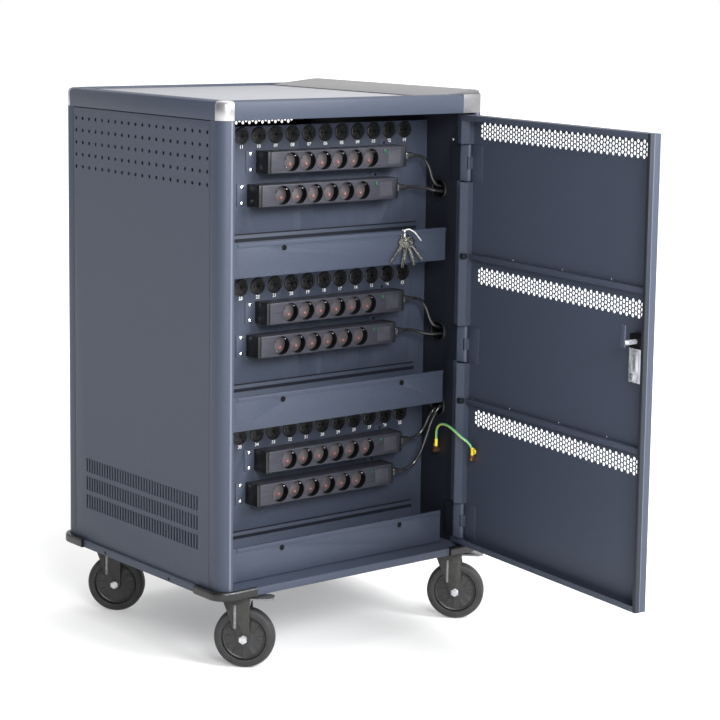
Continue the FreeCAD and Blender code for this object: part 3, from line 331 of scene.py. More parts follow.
def shapeLoft(bm, rings):
    # rings: outlines with as many points each; neighbours are bridged and both ends filled
    outlines = []
    for ring in rings:
        verts = [bm.verts.new(point) for point in ring]
        outlines.append([bm.edges.new(pair) for pair in zip(verts, verts[1:] + verts[:1])])
    made = []
    for outline, after in zip(outlines, outlines[1:]):
        made += bmesh.ops.bridge_loops(bm, edges=outline + after)["faces"]
    for outline in (outlines[0], outlines[-1]):
        made += bmesh.ops.edgeloop_fill(bm, edges=outline)["faces"]
    bmesh.ops.recalc_face_normals(bm, faces=made)


def closeShape(bm):
    bmesh.ops.remove_doubles(bm, verts=bm.verts, dist=meshRules["weld"])
    bmesh.ops.recalc_face_normals(bm, faces=bm.faces)


def softenShading(bm):
    for face in bm.faces:
        face.smooth = True
    for edge in bm.edges:
        edge.smooth = edge.calc_face_angle(math.pi) < math.radians(meshRules["smoothUnder"])


def addPiece(name, bm, material, body="cabinet", slotName=None, stands=()):
    softenShading(bm)
    bmesh.ops.scale(bm, vec=(mm,) * 3, verts=bm.verts)
    mesh = bpy.data.meshes.new(name)
    bm.to_mesh(mesh)
    bm.free()
    piece = bpy.data.objects.new(name, mesh)
    sceneObjects.link(piece)
    for entry in material if isinstance(material, (list, tuple)) else [material]:
        mesh.materials.append(entry)
    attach(piece, body)
    if stands:
        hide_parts(*stands)


def meshOf(thing):
    return bpy.data.meshes.new_from_object(thing.evaluated_get(bpy.context.evaluated_depsgraph_get()))


def linkedObject(name, data):
    made = bpy.data.objects.new(name, data)
    sceneObjects.link(made)
    return made


def cutAway(bm, cutter):
    # one boolean takes all the holes out of a plate
    meshes = []
    for shape in (bm, cutter):
        mesh = bpy.data.meshes.new("cutWork")
        shape.to_mesh(mesh)
        shape.free()
        meshes.append(mesh)
    plate, tool = linkedObject("plateWork", meshes[0]), linkedObject("toolWork", meshes[1])
    step = plate.modifiers.new("holes", "BOOLEAN")
    step.operation, step.object, step.solver = "DIFFERENCE", tool, "EXACT"
    done = bmesh.new()
    done.from_mesh(meshOf(plate))
    for thing in (plate, tool):
        bpy.data.objects.remove(thing)
    return done


# pieces of both doors are shaped on a shut front door, then turned to where each door is
def openedByDoor(bm):
    swing = Matrix.Rotation(math.radians(doorHinge["openAngle"]), 3, "Z")
    bmesh.ops.rotate(bm, cent=doorHinge["pin"], matrix=swing, verts=bm.verts)


def turnedToBack(bm):
    bmesh.ops.rotate(bm, cent=(0, 0, 0), matrix=Matrix.Rotation(math.pi, 3, "Z"), verts=bm.verts)


doorWays = {"front_door": openedByDoor, "rear_door": turnedToBack}


def addToDoors(ending, makeShape, material, slotName=None, standsFor=None):
    for body, swing in doorWays.items():
        shape = makeShape()
        swing(shape)
        stands = () if standsFor is None else [body + standsFor]
        addPiece(camelName(body, ending), shape, material, body, slotName, stands)


# camera and light
camera = {"place": (-2.6681, -3.6442, 1.3781), "yaw": 0.6832, "pitch": 0.1432, "roll": 0.0149, "lens": 105.26,
          "sensor": 36.0, "shift": (-0.0265, -0.0993), "reach": 60.0}
cosYaw, sinYaw = math.cos(camera["yaw"]), math.sin(camera["yaw"])
cosPitch, sinPitch = math.cos(camera["pitch"]), math.sin(camera["pitch"])
cosRoll, sinRoll = math.cos(camera["roll"]), math.sin(camera["roll"])
ahead = Vector((sinYaw * cosPitch, cosYaw * cosPitch, -sinPitch))
rightward = Vector((cosYaw, -sinYaw, 0))
upward = rightward.cross(ahead)
cameraX = rightward * cosRoll + upward * sinRoll
cameraY = upward * cosRoll - rightward * sinRoll
cameraData = bpy.data.cameras.new("photoCamera")
cameraData.lens, cameraData.sensor_width = camera["lens"], camera["sensor"]
cameraData.shift_x, cameraData.shift_y = camera["shift"]
cameraData.clip_end = camera["reach"]
photoCamera = linkedObject("photoCamera", cameraData)
photoCamera.matrix_world = (Matrix.Translation(camera["place"])
                            @ Matrix((cameraX, cameraY, -ahead)).transposed().to_4x4())
bpy.context.scene.camera = photoCamera
bpy.context.scene.view_settings.view_transform = "Standard"

studio = {"world": (1.0, 1.0, 1.0), "brightWay": (0.8, 0.45, 0.42), "dimming": (-0.4, 0.45, 0.12, 1.0),
          "floor": (0.66, 0.66, 0.66), "floorRough": 0.9, "floorGlow": (0.8, 3.0, 0.26, 0.9),
          "floorSize": 40.0, "aim": Vector((0, 0, 0.6)), "lamps": (
              ("keySoftbox", (1.4, -4.2, 3.4), 2.6, 370.0), ("fillSoftbox", (-2.0, -4.4, 2.6), 2.0, 240.0),
              ("topSoftbox", (0.0, 0.4, 4.5), 3.0, 80.0))}
world = bpy.data.worlds.new("studioWorld")
world.use_nodes = True
sky = world.node_tree
sky.nodes["Background"].inputs["Color"].default_value = (*studio["world"], 1)
# the room is white behind the cabinet and overhead, and dimmer on the side of the camera
look = sky.nodes.new("ShaderNodeTexCoord")
facing = sky.nodes.new("ShaderNodeVectorMath")
facing.operation = "DOT_PRODUCT"
facing.inputs[1].default_value = Vector(studio["brightWay"]).normalized()
dimming = rangeNode(sky, *studio["dimming"])
sky.links.new(look.outputs["Generated"], facing.inputs[0])
sky.links.new(facing.outputs["Value"], dimming.inputs["Value"])
sky.links.new(dimming.outputs["Result"], sky.nodes["Background"].inputs["Strength"])
bpy.context.scene.world = world
for name, place, size, power in studio["lamps"]:
    lampData = bpy.data.lights.new(name, "AREA")
    lampData.shape, lampData.size, lampData.energy = "DISK", size, power
    lamp = linkedObject(name, lampData)
    lamp.location = place
    lamp.rotation_euler = (studio["aim"] - Vector(place)).to_track_quat("-Z", "Y").to_euler()
floorMesh = bmesh.new()
bmesh.ops.create_grid(floorMesh, x_segments=1, y_segments=1, size=studio["floorSize"])
floorData = bpy.data.meshes.new("studioFloor")
floorMesh.to_mesh(floorData)
floorMesh.free()
floorPaint, floorTree, floorShader = newMaterial("floorPaper")
floorShader.inputs["Base Color"].default_value = (*studio["floor"], 1)
floorShader.inputs["Roughness"].default_value = studio["floorRough"]
floorShader.inputs["Emission Color"].default_value = (1, 1, 1, 1)
# the paper glows towards its far edge, so that no horizon shows
spot = floorTree.nodes.new("ShaderNodeTexCoord")
distance = floorTree.nodes.new("ShaderNodeVectorMath")
distance.operation = "LENGTH"
glow = rangeNode(floorTree, *studio["floorGlow"])
floorTree.links.new(spot.outputs["Object"], distance.inputs[0])
floorTree.links.new(distance.outputs["Value"], glow.inputs["Value"])
floorTree.links.new(glow.outputs["Result"], floorShader.inputs["Emission Strength"])
floorData.materials.append(floorPaint)
linkedObject("studioFloor", floorData)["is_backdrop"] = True
print("camera and light ready")

# cords: routes as in the part's source
cordCurve = {"resolution": 10, "order": 3, "roundness": 3}
stripCords = {"radius": 0.0035, "routes": (
    ((236, -185, 1017.5), (262, -185, 1017.5), (282, -187, 990), (287, -190, 963), (301, -193, 947),
     (322, -193, 947)),
    ((214, -185, 950), (240, -185, 950), (270, -195, 945), (299, -207, 937), (322, -207, 937)),
    ((236, -185, 706.5), (262, -185, 706.5), (280, -188, 681), (286, -192, 654), (300, -198, 638),
     (322, -198, 638)),
    ((214, -185, 639), (238, -185, 639), (270, -196, 627), (299, -211, 626), (322, -211, 626)),
    ((236, -185, 395.5), (262, -185, 395.5), (281, -190, 422), (286, -197, 446), (301, -201, 462),
     (322, -201, 462)),
    ((214, -185, 328), (244, -185, 328), (266, -192, 362), (277, -200, 402), (283, -209, 438),
     (301, -214, 470), (322, -214, 470)))}
earthWire = {"radius": 0.0025, "route": (
    (292, -214, 378), (292, -214, 399), (284, -224, 420), (277, -244, 434), (274, -268, 437),
    (272, -294, 430), (277, -313, 417), (290, -326, 404), (295.646, -329.536, 391),
    (295.646, -329.536, 378))}


def routeCurve(name, route, radius):
    data = bpy.data.curves.new(name, "CURVE")
    data.dimensions = "3D"
    data.resolution_u = cordCurve["resolution"]
    line = data.splines.new("NURBS")
    line.points.add(len(route) - 1)
    for point, place in zip(line.points, route):
        point.co = (*[v * mm for v in place], 1)
    line.order_u = cordCurve["order"]
    line.use_endpoint_u = True
    data.bevel_depth = radius
    data.bevel_resolution = cordCurve["roundness"]
    return data


def meshOfCurve(data):
    work = linkedObject("curveWork", data)
    made = meshOf(work)
    bpy.data.objects.remove(work)
    return made


def pathOf(data):
    depth, data.bevel_depth = data.bevel_depth, 0.0
    points = [vert.co.copy() for vert in meshOfCurve(data).vertices]
    data.bevel_depth = depth
    return points


def lengthOf(points):
    return sum((b - a).length for a, b in zip(points, points[1:]))


for number, route in enumerate(stripCords["routes"], 1):
    curve = routeCurve("stripCord%d" % number, route, stripCords["radius"])
    length = lengthOf(pathOf(curve))
    curve.materials.append(finishes["cord_black"])
    cordPiece = linkedObject("stripCord%d" % number, curve)
    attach(cordPiece, "cabinet")
    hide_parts("strip_cords")
    [v * mm for v in route[0]]

earthCurve = routeCurve("earthWire", earthWire["route"], earthWire["radius"])
earthPath = pathOf(earthCurve)
earthMesh = meshOfCurve(earthCurve)
earthMesh.materials.clear()
earthMesh.materials.append(finishes["earth_sleeve"])
earthPiece = linkedObject("earthWire", earthMesh)
for polygon in earthMesh.polygons:
    polygon.use_smooth = True
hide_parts("earth_wire")
[v * mm for v in earthWire["route"][0]]
lengthOf(earthPath)
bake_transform(earthPiece)
# yellow sleeves at both ends of the earth wire, and the discs behind its studs: radius, depth, sides, ease
earthLug = {"sleeve": (3.6, 18.0, 14, 0.6), "disc": (6.5, 1.2, 20, 0.3),
            "places": {
                "cabinet": ((292.0, -214.0, 376.0), (298.6, -205.0, 376.0), (-1, 0, 0)),
                "front_door": ((295.646, -329.536, 376.0), (294.9, -337.0, 387.0), (-0.9945, 0.1045, 0))}}
for body, (foot, middle, way) in earthLug["places"].items():
    lugs = bmesh.new()
    shapeDisc(lugs, foot, zAxis, *earthLug["sleeve"])
    shapeDisc(lugs, middle, way, *earthLug["disc"])
    addPiece(camelName(body, "EarthLug"), lugs, earthYellow, body)
print("cords laid:", len(stripCords["routes"]) + 1)

# side panels with their round holes and slots
sideVents = {"holeColumns": 20, "holeRows": 5, "holePitch": (25.9, 25.8), "holeTop": 1089.0,
             "holeRadius": 4.0,
             "holeSides": 12, "slotColumns": 42, "slotRows": 3, "slotPitch": (10.3, 40.0), "slotTop": 340.0,
             "slotSize": (5.4, 30.0), "slotMiddle": -2.5, "seam": 1.2, "topSeam": 1.68, "ease": 0.4,
             "cutInset": 6.0,
             "cutDepth": 12.0, "inlet": (150.0, 217.0, 48.0, 28.0), "inletCut": (330.0, 350.0)}


def sidePanels():
    bm, holes = bmesh.new(), bmesh.new()
    end, top = cabinet["wallFront"] - sideVents["seam"], cabinet["fasciaBottom"] - sideVents["topSeam"]
    depth, (wide, tall) = sideVents["cutDepth"], sideVents["slotSize"]
    for side in (-1, 1):
        low, high = sorted(side * x for x in (cabinet["halfWidth"], cabinet["halfWidth"] - cabinet["sheet"]))
        shapeBox(bm, (low, -end, cabinet["baseTop"]), (high, end, top), sideVents["ease"])
        start = side * (cabinet["halfWidth"] - sideVents["cutInset"])
        low, high = sorted((start, start + side * depth))
        for y in spread(sideVents["holeColumns"], sideVents["holePitch"][0]):
            for row in range(sideVents["holeRows"]):
                z = sideVents["holeTop"] - sideVents["holePitch"][1] * row
                shapeDisc(holes, (start, y, z), (side, 0, 0), sideVents["holeRadius"], depth,
                          sideVents["holeSides"])
        for y in spread(sideVents["slotColumns"], sideVents["slotPitch"][0], sideVents["slotMiddle"]):
            for row in range(sideVents["slotRows"]):
                z = sideVents["slotTop"] - sideVents["slotPitch"][1] * row
                shapeBox(holes, (low, y - wide / 2, z - tall / 2), (high, y + wide / 2, z + tall / 2))
    y, z, wide, tall = sideVents["inlet"]
    low, high = sideVents["inletCut"]
    shapeBox(holes, (low, y - wide / 2, z - tall / 2), (high, y + wide / 2, z + tall / 2))
    return cutAway(bm, holes)


addPiece("sidePanels", sidePanels(), finishes["body_paint"], "cabinet", "body_paint", ["side_panels"])
print("side panels cut")

# doors with perforated bands
doorPan = {"half": 308.0, "low": 178.0, "high": 1109.0, "front": -300.0, "back": -274.0, "sheet": 1.5,
           "ease": 0.8,
           "lip": 12.0, "freeLip": 8.0, "foldBand": (-285.5, -284.0), "foldReach": 0.9, "lipReach": 0.1,
           "stile": 14.0, "stileDrop": 12.0, "bandMiddles": (1076.0, 768.0, 459.0), "bandShift": -2.6,
           "columns": 59,
           "columnPitch": 9.25, "rows": (3, 4), "rowPitch": 9.7, "holeRadius": 4.15, "holeSides": 10,
           "hingeHeights": (1006.0, 615.0, 224.0), "notchHalf": 41.0, "notchFrom": 289.0, "notchFloor": 2.0,
           "clear": 3.0}
doorSkin = doorPan["front"] + doorPan["sheet"]


def doorPanShape():
    pan, hollow, mouth, notches, holes = (bmesh.new() for count in range(5))
    half, low, high, sheet = (doorPan[key] for key in ("half", "low", "high", "sheet"))
    front, back, lip, clear = (doorPan[key] for key in ("front", "back", "lip", "clear"))
    shapeBox(pan, (-half, front, low), (half, back, high), doorPan["ease"])
    shapeBox(hollow, (-half + sheet, doorSkin, low + sheet), (half - sheet, back - sheet, high - sheet))
    # the mouth between the returned lips, and the notches that the hinges need
    shapeBox(mouth, (-half + doorPan["freeLip"], back - 4 * sheet, low + lip),
             (half - sheet, back + sheet, high - lip))
    for z in doorPan["hingeHeights"]:
        shapeBox(notches, (doorPan["notchFrom"], front + doorPan["notchFloor"], z - doorPan["notchHalf"]),
                 (half + clear, back + clear, z + doorPan["notchHalf"]))
    for middle in doorPan["bandMiddles"]:
        for column, x in enumerate(spread(doorPan["columns"], doorPan["columnPitch"], doorPan["bandShift"])):
            for z in spread(doorPan["rows"][column % 2], doorPan["rowPitch"], middle):
                shapeDisc(holes, (x, front - clear, z), toBack, doorPan["holeRadius"], clear + 2 * sheet,
                          doorPan["holeSides"])
    # cutters of one cut must not overlap, so the pan is cut in turns
    for cutter in (hollow, mouth, notches, holes):
        pan = cutAway(pan, cutter)
    # the hinge-side stile slopes from the pan's edge down to the skin, and stops short of each hinge
    inner = half - doorPan["stile"]
    section = ((half, back), (inner, back - doorPan["stileDrop"]), (inner, doorSkin), (half, doorSkin))
    notchEnds = [z + side * doorPan["notchHalf"] for z in doorPan["hingeHeights"] for side in (-1, 1)]
    stops = sorted([low + sheet, high - sheet] + notchEnds)
    for ends in zip(stops[::2], stops[1::2]):
        shapeLoft(pan, [[(x, y, z) for x, y in section] for z in ends])
    return pan


# the free edge gets a band of painted highlight, the fold behind it painted shade, and the lip painted shade
def finishFreeEdge(pan):
    foldLow, foldHigh = doorPan["foldBand"]
    lipEnd = -doorPan["half"] + doorPan["freeLip"]
    for y in (foldLow, foldHigh):
        cutPlane(pan, (0, y, 0), toBack)
    cutPlane(pan, (lipEnd, 0, 0), toRight)
    for face in pan.faces:
        place = face.calc_center_median()
        if place.x < -doorPan["half"] + doorPan["foldReach"] and place.y > foldLow:
            face.material_index = 1 if place.y < foldHigh else 2
        elif place.x < lipEnd + doorPan["lipReach"] and place.y > doorPan["back"] - 2 * doorPan["sheet"]:
            face.material_index = 3  # the lip lies in shade


doorShape = doorPanShape()
finishFreeEdge(doorShape)
doorPaints = [finishes["body_paint"], edgeHighlightPaint, foldShadePaint, bayShadePaint]
addToDoors("Pan", doorShape.copy, doorPaints, "body_paint", "")
doorShape.free()

# stiffener bars across each door, with a painted shadow under each bar and its dark end on the stile
doorBar = {"lows": (801.0, 487.0), "height": 11.0, "reach": 290.0, "depth": 10.0, "ease": 1.2, "seam": 2.0,
           "shadowSunk": 0.2, "shadowProud": 0.5, "shadowEase": 0.1, "end": (293.0, 306.5, -287.0, -275.5),
           "endEase": 0.6}


def doorBars():
    bars = bmesh.new()
    reach, face = doorBar["reach"], doorSkin + doorBar["depth"]
    for low in doorBar["lows"]:
        shapeBox(bars, (-reach, doorSkin, low), (reach, face, low + doorBar["height"]), doorBar["ease"], 3)
    return bars


def barShadows():
    dark = bmesh.new()
    reach, proud = doorBar["reach"], doorBar["shadowProud"]
    left, right, deep, shallow = doorBar["end"]
    for low in doorBar["lows"]:
        shapeBox(dark, (-reach, doorSkin - doorBar["shadowSunk"], low - doorBar["seam"]),
                 (reach, doorSkin + proud, low + proud), doorBar["shadowEase"], 1)
        shapeBox(dark, (left, deep, low), (right, shallow, low + doorBar["height"]), doorBar["endEase"])
    return dark


addToDoors("Bars", doorBars, finishes["body_paint"], "body_paint", "_bars")
addToDoors("BarSeams", barShadows, bayShadePaint)
print("doors perforated")

# cable grommets: a moulded ring round a star-cut membrane
grommet = {"count": 12, "pitch": 43.0, "radius": 18.0, "bore": 13.6, "flange": 3.0, "sides": 24,
           "numberDrop": 22.5,
           "numberSize": 10.0, "numberThick": 0.02, "numberBold": 0.18, "numberProud": 0.05}
petal = {"count": 6, "steps": 4, "gap": 0.05, "overlap": 0.4, "rootRise": 0.9, "tipReach": 1.6,
         "tipRise": 1.9}


def grommetPlaces():
    for tier, row in enumerate(cabinet["tierTops"], 1):
        for index, x in enumerate(spread(grommet["count"], grommet["pitch"])):
            yield tier * grommet["count"] - index, x, row


def petalPoint(centre, angle, reach, height):
    return centre + Vector((math.cos(angle) * reach, -height, math.sin(angle) * reach))


def cableGrommets():
    bm = bmesh.new()
    outer, bore, rise = grommet["radius"], grommet["bore"], grommet["flange"]
    section = ((bore, 0.0), (bore, rise - 1.2), (bore + 0.7, rise - 0.3), (outer - 2.6, rise),
               (outer - 1.2, rise - 0.4), (outer - 0.3, rise - 1.3), (outer, 0.0))
    wide = 2 * math.pi / petal["count"]
    step = (wide - 2 * petal["gap"]) / petal["steps"]
    for number, x, z in grommetPlaces():
        centre = Vector((x, cabinet["partitionFace"], z))
        shapeSpin(bm, section, centre, toFront, toRight, grommet["sides"])
        for index in range(petal["count"]):
            angles = [wide * index + petal["gap"] + step * count for count in range(petal["steps"] + 1)]
            root = [bm.verts.new(petalPoint(centre, angle, bore + petal["overlap"], petal["rootRise"]))
                    for angle in angles]
            tip = bm.verts.new(petalPoint(centre, wide * (index + 0.5), petal["tipReach"], petal["tipRise"]))
            for a, b in zip(root, root[1:]):
                bm.faces.new((a, b, tip)).material_index = 1
    bmesh.ops.recalc_face_normals(bm, faces=bm.faces)
    return bm


addPiece("cableGrommets", cableGrommets(), [finishes["black_rubber"], membraneBlack], "cabinet",
         "black_rubber", ["cable_grommets"])


def numeralMesh(text, place):
    data = bpy.data.curves.new("numeral", "FONT")
    data.body, data.size, data.align_x, data.align_y = text, grommet["numberSize"], "CENTER", "CENTER"
    data.resolution_u = 2
    data.extrude = grommet["numberThick"]
    data.offset = grommet["numberBold"]
    mesh = meshOfCurve(data)
    mesh.transform(Matrix.Translation(place) @ Matrix.Rotation(math.pi / 2, 4, "X"))
    return mesh


numerals = bmesh.new()
for number, x, z in grommetPlaces():
    place = (x, cabinet["partitionFace"] - grommet["numberProud"], z - grommet["numberDrop"])
    numerals.from_mesh(numeralMesh("%02d" % number, place))
addPiece("grommetNumbers", numerals, numberPaint)
print("grommets and numbers placed")

# power strips with round wells
strip = {"lefts": (-150.0, -172.0), "drops": (53.5, 121.0), "length": 348.0, "height": 45.0, "depth": 44.0,
         "ease": 1.6, "firstSocket": 52.0, "socketPitch": 41.5, "sockets": 6, "wellRadius": 19.5,
         "wellDepth": 17.0,
         "wellSides": 32, "groove": (9.0, 11.0), "grooveHalf": 0.8, "past": 2.0, "floor": 15.4,
         "pinReach": 9.5,
         "pinTurn": -45.0, "clipReach": 18.0, "axis": 30.0}
# what sits in a well: distance in front of the well's floor, then radius, depth, sides, ease
socketDiscs = {"floors": (0.0, 19.1, 1.4, 24, 0.5), "shutters": (0.5, 4.6, 0.6, 14, 0.2),
               "centres": (0.8, 1.7, 0.5, 10, 0.2), "pinHoles": (0.5, 2.9, 0.6, 12, 0.2),
               "clips": (11.4, 1.8, 9.0, 10, 0.4)}
socketRim = ((-0.2, 0.4), (0.0, -0.5), (1.0, -0.6), (1.5, 0.1))
stripFace = cabinet["partitionFace"] - strip["depth"]


def stripPlaces():
    for row in cabinet["tierTops"]:
        for left, drop in zip(strip["lefts"], strip["drops"]):
            yield left, row - drop


def socketPlaces():
    for left, middle in stripPlaces():
        for index in range(strip["sockets"]):
            yield left + strip["firstSocket"] + strip["socketPitch"] * index, middle


def stripCasings():
    bm, holes = bmesh.new(), bmesh.new()
    past, (grooveFrom, grooveTo) = strip["past"], strip["groove"]
    for left, middle in stripPlaces():
        low, high = middle - strip["height"] / 2, middle + strip["height"] / 2
        right = left + strip["length"]
        shapeBox(bm, (left, stripFace, low), (right, cabinet["partitionFace"], high), strip["ease"], 3)
        for edge in (low, high):  # shallow grooves that run along the extrusion
            shapeBox(holes, (left - past, stripFace + grooveFrom, edge - strip["grooveHalf"]),
                     (right + past, stripFace + grooveTo, edge + strip["grooveHalf"]))
    wells = list(socketPlaces())
    for x, z in wells:
        shapeDisc(holes, (x, stripFace - past, z), toBack, strip["wellRadius"], strip["wellDepth"] + past,
                  strip["wellSides"])
    done = cutAway(bm, holes)
    for face in done.faces:
        middle = face.calc_center_median()
        inWell = any(math.hypot(middle.x - x, middle.z - z) < strip["wellRadius"] + 0.2 for x, z in wells)
        face.material_index = int(inWell and middle.y > stripFace + 0.5)
    return done


def socketFittings():
    fittings = {kind: bmesh.new() for kind in (*socketDiscs, "rims")}
    turn, radius = math.radians(strip["pinTurn"]), strip["wellRadius"]
    rim = [(radius + wider, along) for wider, along in socketRim]

    def addDisc(kind, x, z):
        proud, *shape = socketDiscs[kind]
        shapeDisc(fittings[kind], (x, stripFace + strip["floor"] - proud, z), toBack, *shape)

    for x, z in socketPlaces():
        addDisc("floors", x, z)
        for side in (-1, 1):
            reach = side * strip["pinReach"]
            for kind in ("shutters", "centres") if side > 0 else ("pinHoles",):
                addDisc(kind, x + reach * math.cos(turn), z + reach * math.sin(turn))
            reach = side * strip["clipReach"]
            addDisc("clips", x - reach * math.sin(turn), z + reach * math.cos(turn))
        shapeSpin(fittings["rims"], rim, (x, stripFace, z), toBack, toRight, strip["wellSides"])
    bmesh.ops.recalc_face_normals(fittings["rims"], faces=fittings["rims"].faces)
    return fittings


addPiece("powerStrips", stripCasings(), [finishes["strip_metal"], wellBlack], "cabinet", "strip_metal",
         ["power_strips"])
fittings = socketFittings()
addPiece("socketFloors", fittings["floors"], finishes["socket_plastic"], "cabinet", "socket_plastic",
         ["socket_inserts"])
addPiece("socketShutters", fittings["shutters"], shutterRed)
addPiece("socketShutterCentres", fittings["centres"], shutterHighlightPaint)
# near-black discs on the well floors paint the shade inside the pin holes
addPiece("socketPinHoles", fittings["pinHoles"], wellBlack)
addPiece("socketEarthClips", fittings["clips"], boltMetal)
addPiece("socketRims", fittings["rims"], finishes["strip_metal"])
blankPlate = {"along": (306.0, 340.0), "half": 15.0, "proud": 0.35, "sunk": 0.2, "ease": 0.15}
blanks = bmesh.new()
for left, middle in stripPlaces():
    start, end = (left + along for along in blankPlate["along"])
    shapeBox(blanks, (start, stripFace - blankPlate["proud"], middle - blankPlate["half"]),
             (end, stripFace + blankPlate["sunk"], middle + blankPlate["half"]), blankPlate["ease"], 1)
addPiece("blankPlates", blanks, plateGrey)
print("power strips wired")

# cord glands with ribbed sleeves
gland = {"offset": 18.0, "length": 20.0, "bore": 3.6, "collar": (8.5, 4.0), "mouth": 4.6, "ribs": 5,
         "ribStart": 4.5,
         "ribPitch": 3.0, "ribRadius": 7.9, "taper": 0.55, "valley": 1.3, "ribSteps": (0.9, 1.2, 2.6),
         "sides": 20}


def cordGlands():
    bm = bmesh.new()
    bore, (collar, collarEnd) = gland["bore"], gland["collar"]
    valleyEnd, ribFrom, ribEnd = gland["ribSteps"]
    profile = [(bore, 0.0), (collar, 0.0), (collar, collarEnd)]
    for rib in range(gland["ribs"]):
        along = gland["ribStart"] + rib * gland["ribPitch"]
        wide = gland["ribRadius"] - gland["taper"] * rib
        narrow = wide - gland["valley"]
        profile += [(narrow, along), (narrow, along + valleyEnd)]
        profile += [(wide, along + ribFrom), (wide, along + ribEnd)]
    profile += [(gland["mouth"], gland["length"]), (bore, gland["length"])]
    for left, middle in stripPlaces():
        start = (left + strip["length"] + gland["offset"], cabinet["partitionFace"] - strip["axis"], middle)
        shapeSpin(bm, profile, start, toRight, zAxis, gland["sides"])
    bmesh.ops.recalc_face_normals(bm, faces=bm.faces)
    return bm


addPiece("cordGlands", cordGlands(), finishes["dark_plastic"], "cabinet", "dark_plastic", ["cord_glands"])

# grommets in the wall that the strip cords leave through
wallGrommet = {"places": ((-199.0, 943.0), (-204.0, 632.0), (-207.0, 467.0)), "outer": 25.0, "bore": 19.0,
               "flange": 3.0, "behind": 4.5, "sides": 36}


def wallGrommets():
    bm = bmesh.new()
    outer, bore, rise, behind = (wallGrommet[key] for key in ("outer", "bore", "flange", "behind"))
    profile = ((bore, behind), (bore, -rise + 1), (bore + 1, -rise), (outer - 2, -rise), (outer, -rise + 1.5),
               (outer, 0.0), (bore + 2, 0.0), (bore + 2, behind), (bore, behind))
    for y, z in wallGrommet["places"]:
        shapeSpin(bm, profile, (cabinet["innerWall"], y, z), toRight, toBack, wallGrommet["sides"])
    closeShape(bm)
    return bm


addPiece("wallGrommets", wallGrommets(), finishes["black_rubber"], "cabinet", "black_rubber",
         ["wall_grommets"])
print("glands and wall grommets turned")

# corner bumpers: a rounded strip swept round each corner of the base
bumper = {"reach": (345.0, 305.0), "leg": 88.0, "radius": 33.0, "steps": 8,
          "section": ((0.0, 155.4), (4.2, 155.4), (5.6, 156.6), (6.0, 158.5), (6.0, 168.5), (5.4, 171.0),
                      (3.8, 173.0), (-3.4, 173.6), (-3.4, 172.1), (0.0, 172.0))}


def bumperPath(signX, signY):
    reachX, reachY = bumper["reach"]
    radius = bumper["radius"]
    points = [((reachX, reachY - bumper["leg"]), (1.0, 0.0))]
    for step in range(bumper["steps"] + 1):
        angle = math.pi / 2 * step / bumper["steps"]
        way = (math.cos(angle), math.sin(angle))
        points.append(((reachX - radius + radius * way[0], reachY - radius + radius * way[1]), way))
    points.append(((reachX - bumper["leg"], reachY), (0.0, 1.0)))
    for (x, y), (wayX, wayY) in points:
        yield Vector((signX * x, signY * y, 0)), Vector((signX * wayX, signY * wayY, 0))


def cornerBumpers():
    bm = bmesh.new()
    for signX in (-1, 1):
        for signY in (-1, 1):
            shapeLoft(bm, [[place + way * out + zAxis * z for out, z in bumper["section"]]
                           for place, way in bumperPath(signX, signY)])
    return bm


addPiece("cornerBumpers", cornerBumpers(), bumperBlack, "cabinet", "black_rubber", ["base_bumpers"])

# notches, hems and end tabs of the charger trays, with painted shade in the notches and in bands above and
# behind each tray
trayNotch = {"offsets": (-157.0, 157.0), "heights": (851.0, 540.0, 229.0), "face": -254.2, "radius": 5.9,
             "thick": 0.6, "sides": 16}
trayHem = {"lips": {"upper": 866.0, "middle": 555.0, "lower": 244.0}, "half": 272.0, "face": -255.0,
           "proud": 1.2,
           "sunk": 0.5, "height": 9.0, "ease": 0.5, "endTab": 10.0, "tabOverlap": 0.3}
# each band of painted shade: its lower and upper edge from the lip, and the face that it lies on
trayShadeBand = {"bands": ((-12.0, -5.0, -156.5), (2.0, 5.0, cabinet["partitionFace"])), "proud": 0.4, "sunk": 0.2,
           "ease": 0.1}
notchShades, hems, shadeBands, tabs = (bmesh.new() for count in range(4))
# near-black discs behind the notches paint the shade inside them
for x in trayNotch["offsets"]:
    for z in trayNotch["heights"]:
        shapeDisc(notchShades, (x, trayNotch["face"], z), toBack, trayNotch["radius"], trayNotch["thick"],
                  trayNotch["sides"])
for level, lip in trayHem["lips"].items():
    half, face = trayHem["half"], trayHem["face"]
    shapeBox(hems, (-half, face - trayHem["proud"], lip - trayHem["height"]),
             (half, face + trayHem["sunk"], lip), trayHem["ease"])
    for below, above, back in trayShadeBand["bands"]:
        shapeBox(shadeBands, (-half, back - trayShadeBand["proud"], lip + below),
                 (half, back + trayShadeBand["sunk"], lip + above), trayShadeBand["ease"], 1)
    low, high = (Vector(corner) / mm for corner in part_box("charger_tray_" + level))
    shapeBox(tabs, (low.x - trayHem["endTab"], low.y, low.z),
             (low.x + trayHem["tabOverlap"], low.y + cabinet["sheet"], lip), trayHem["tabOverlap"], 1)
addPiece("trayNotchLinings", notchShades, wellBlack)
addPiece("trayHems", hems, finishes["body_paint"])
addPiece("trayEndTabs", tabs, finishes["body_paint"])
addPiece("trayGaps", shadeBands, bayShadePaint)

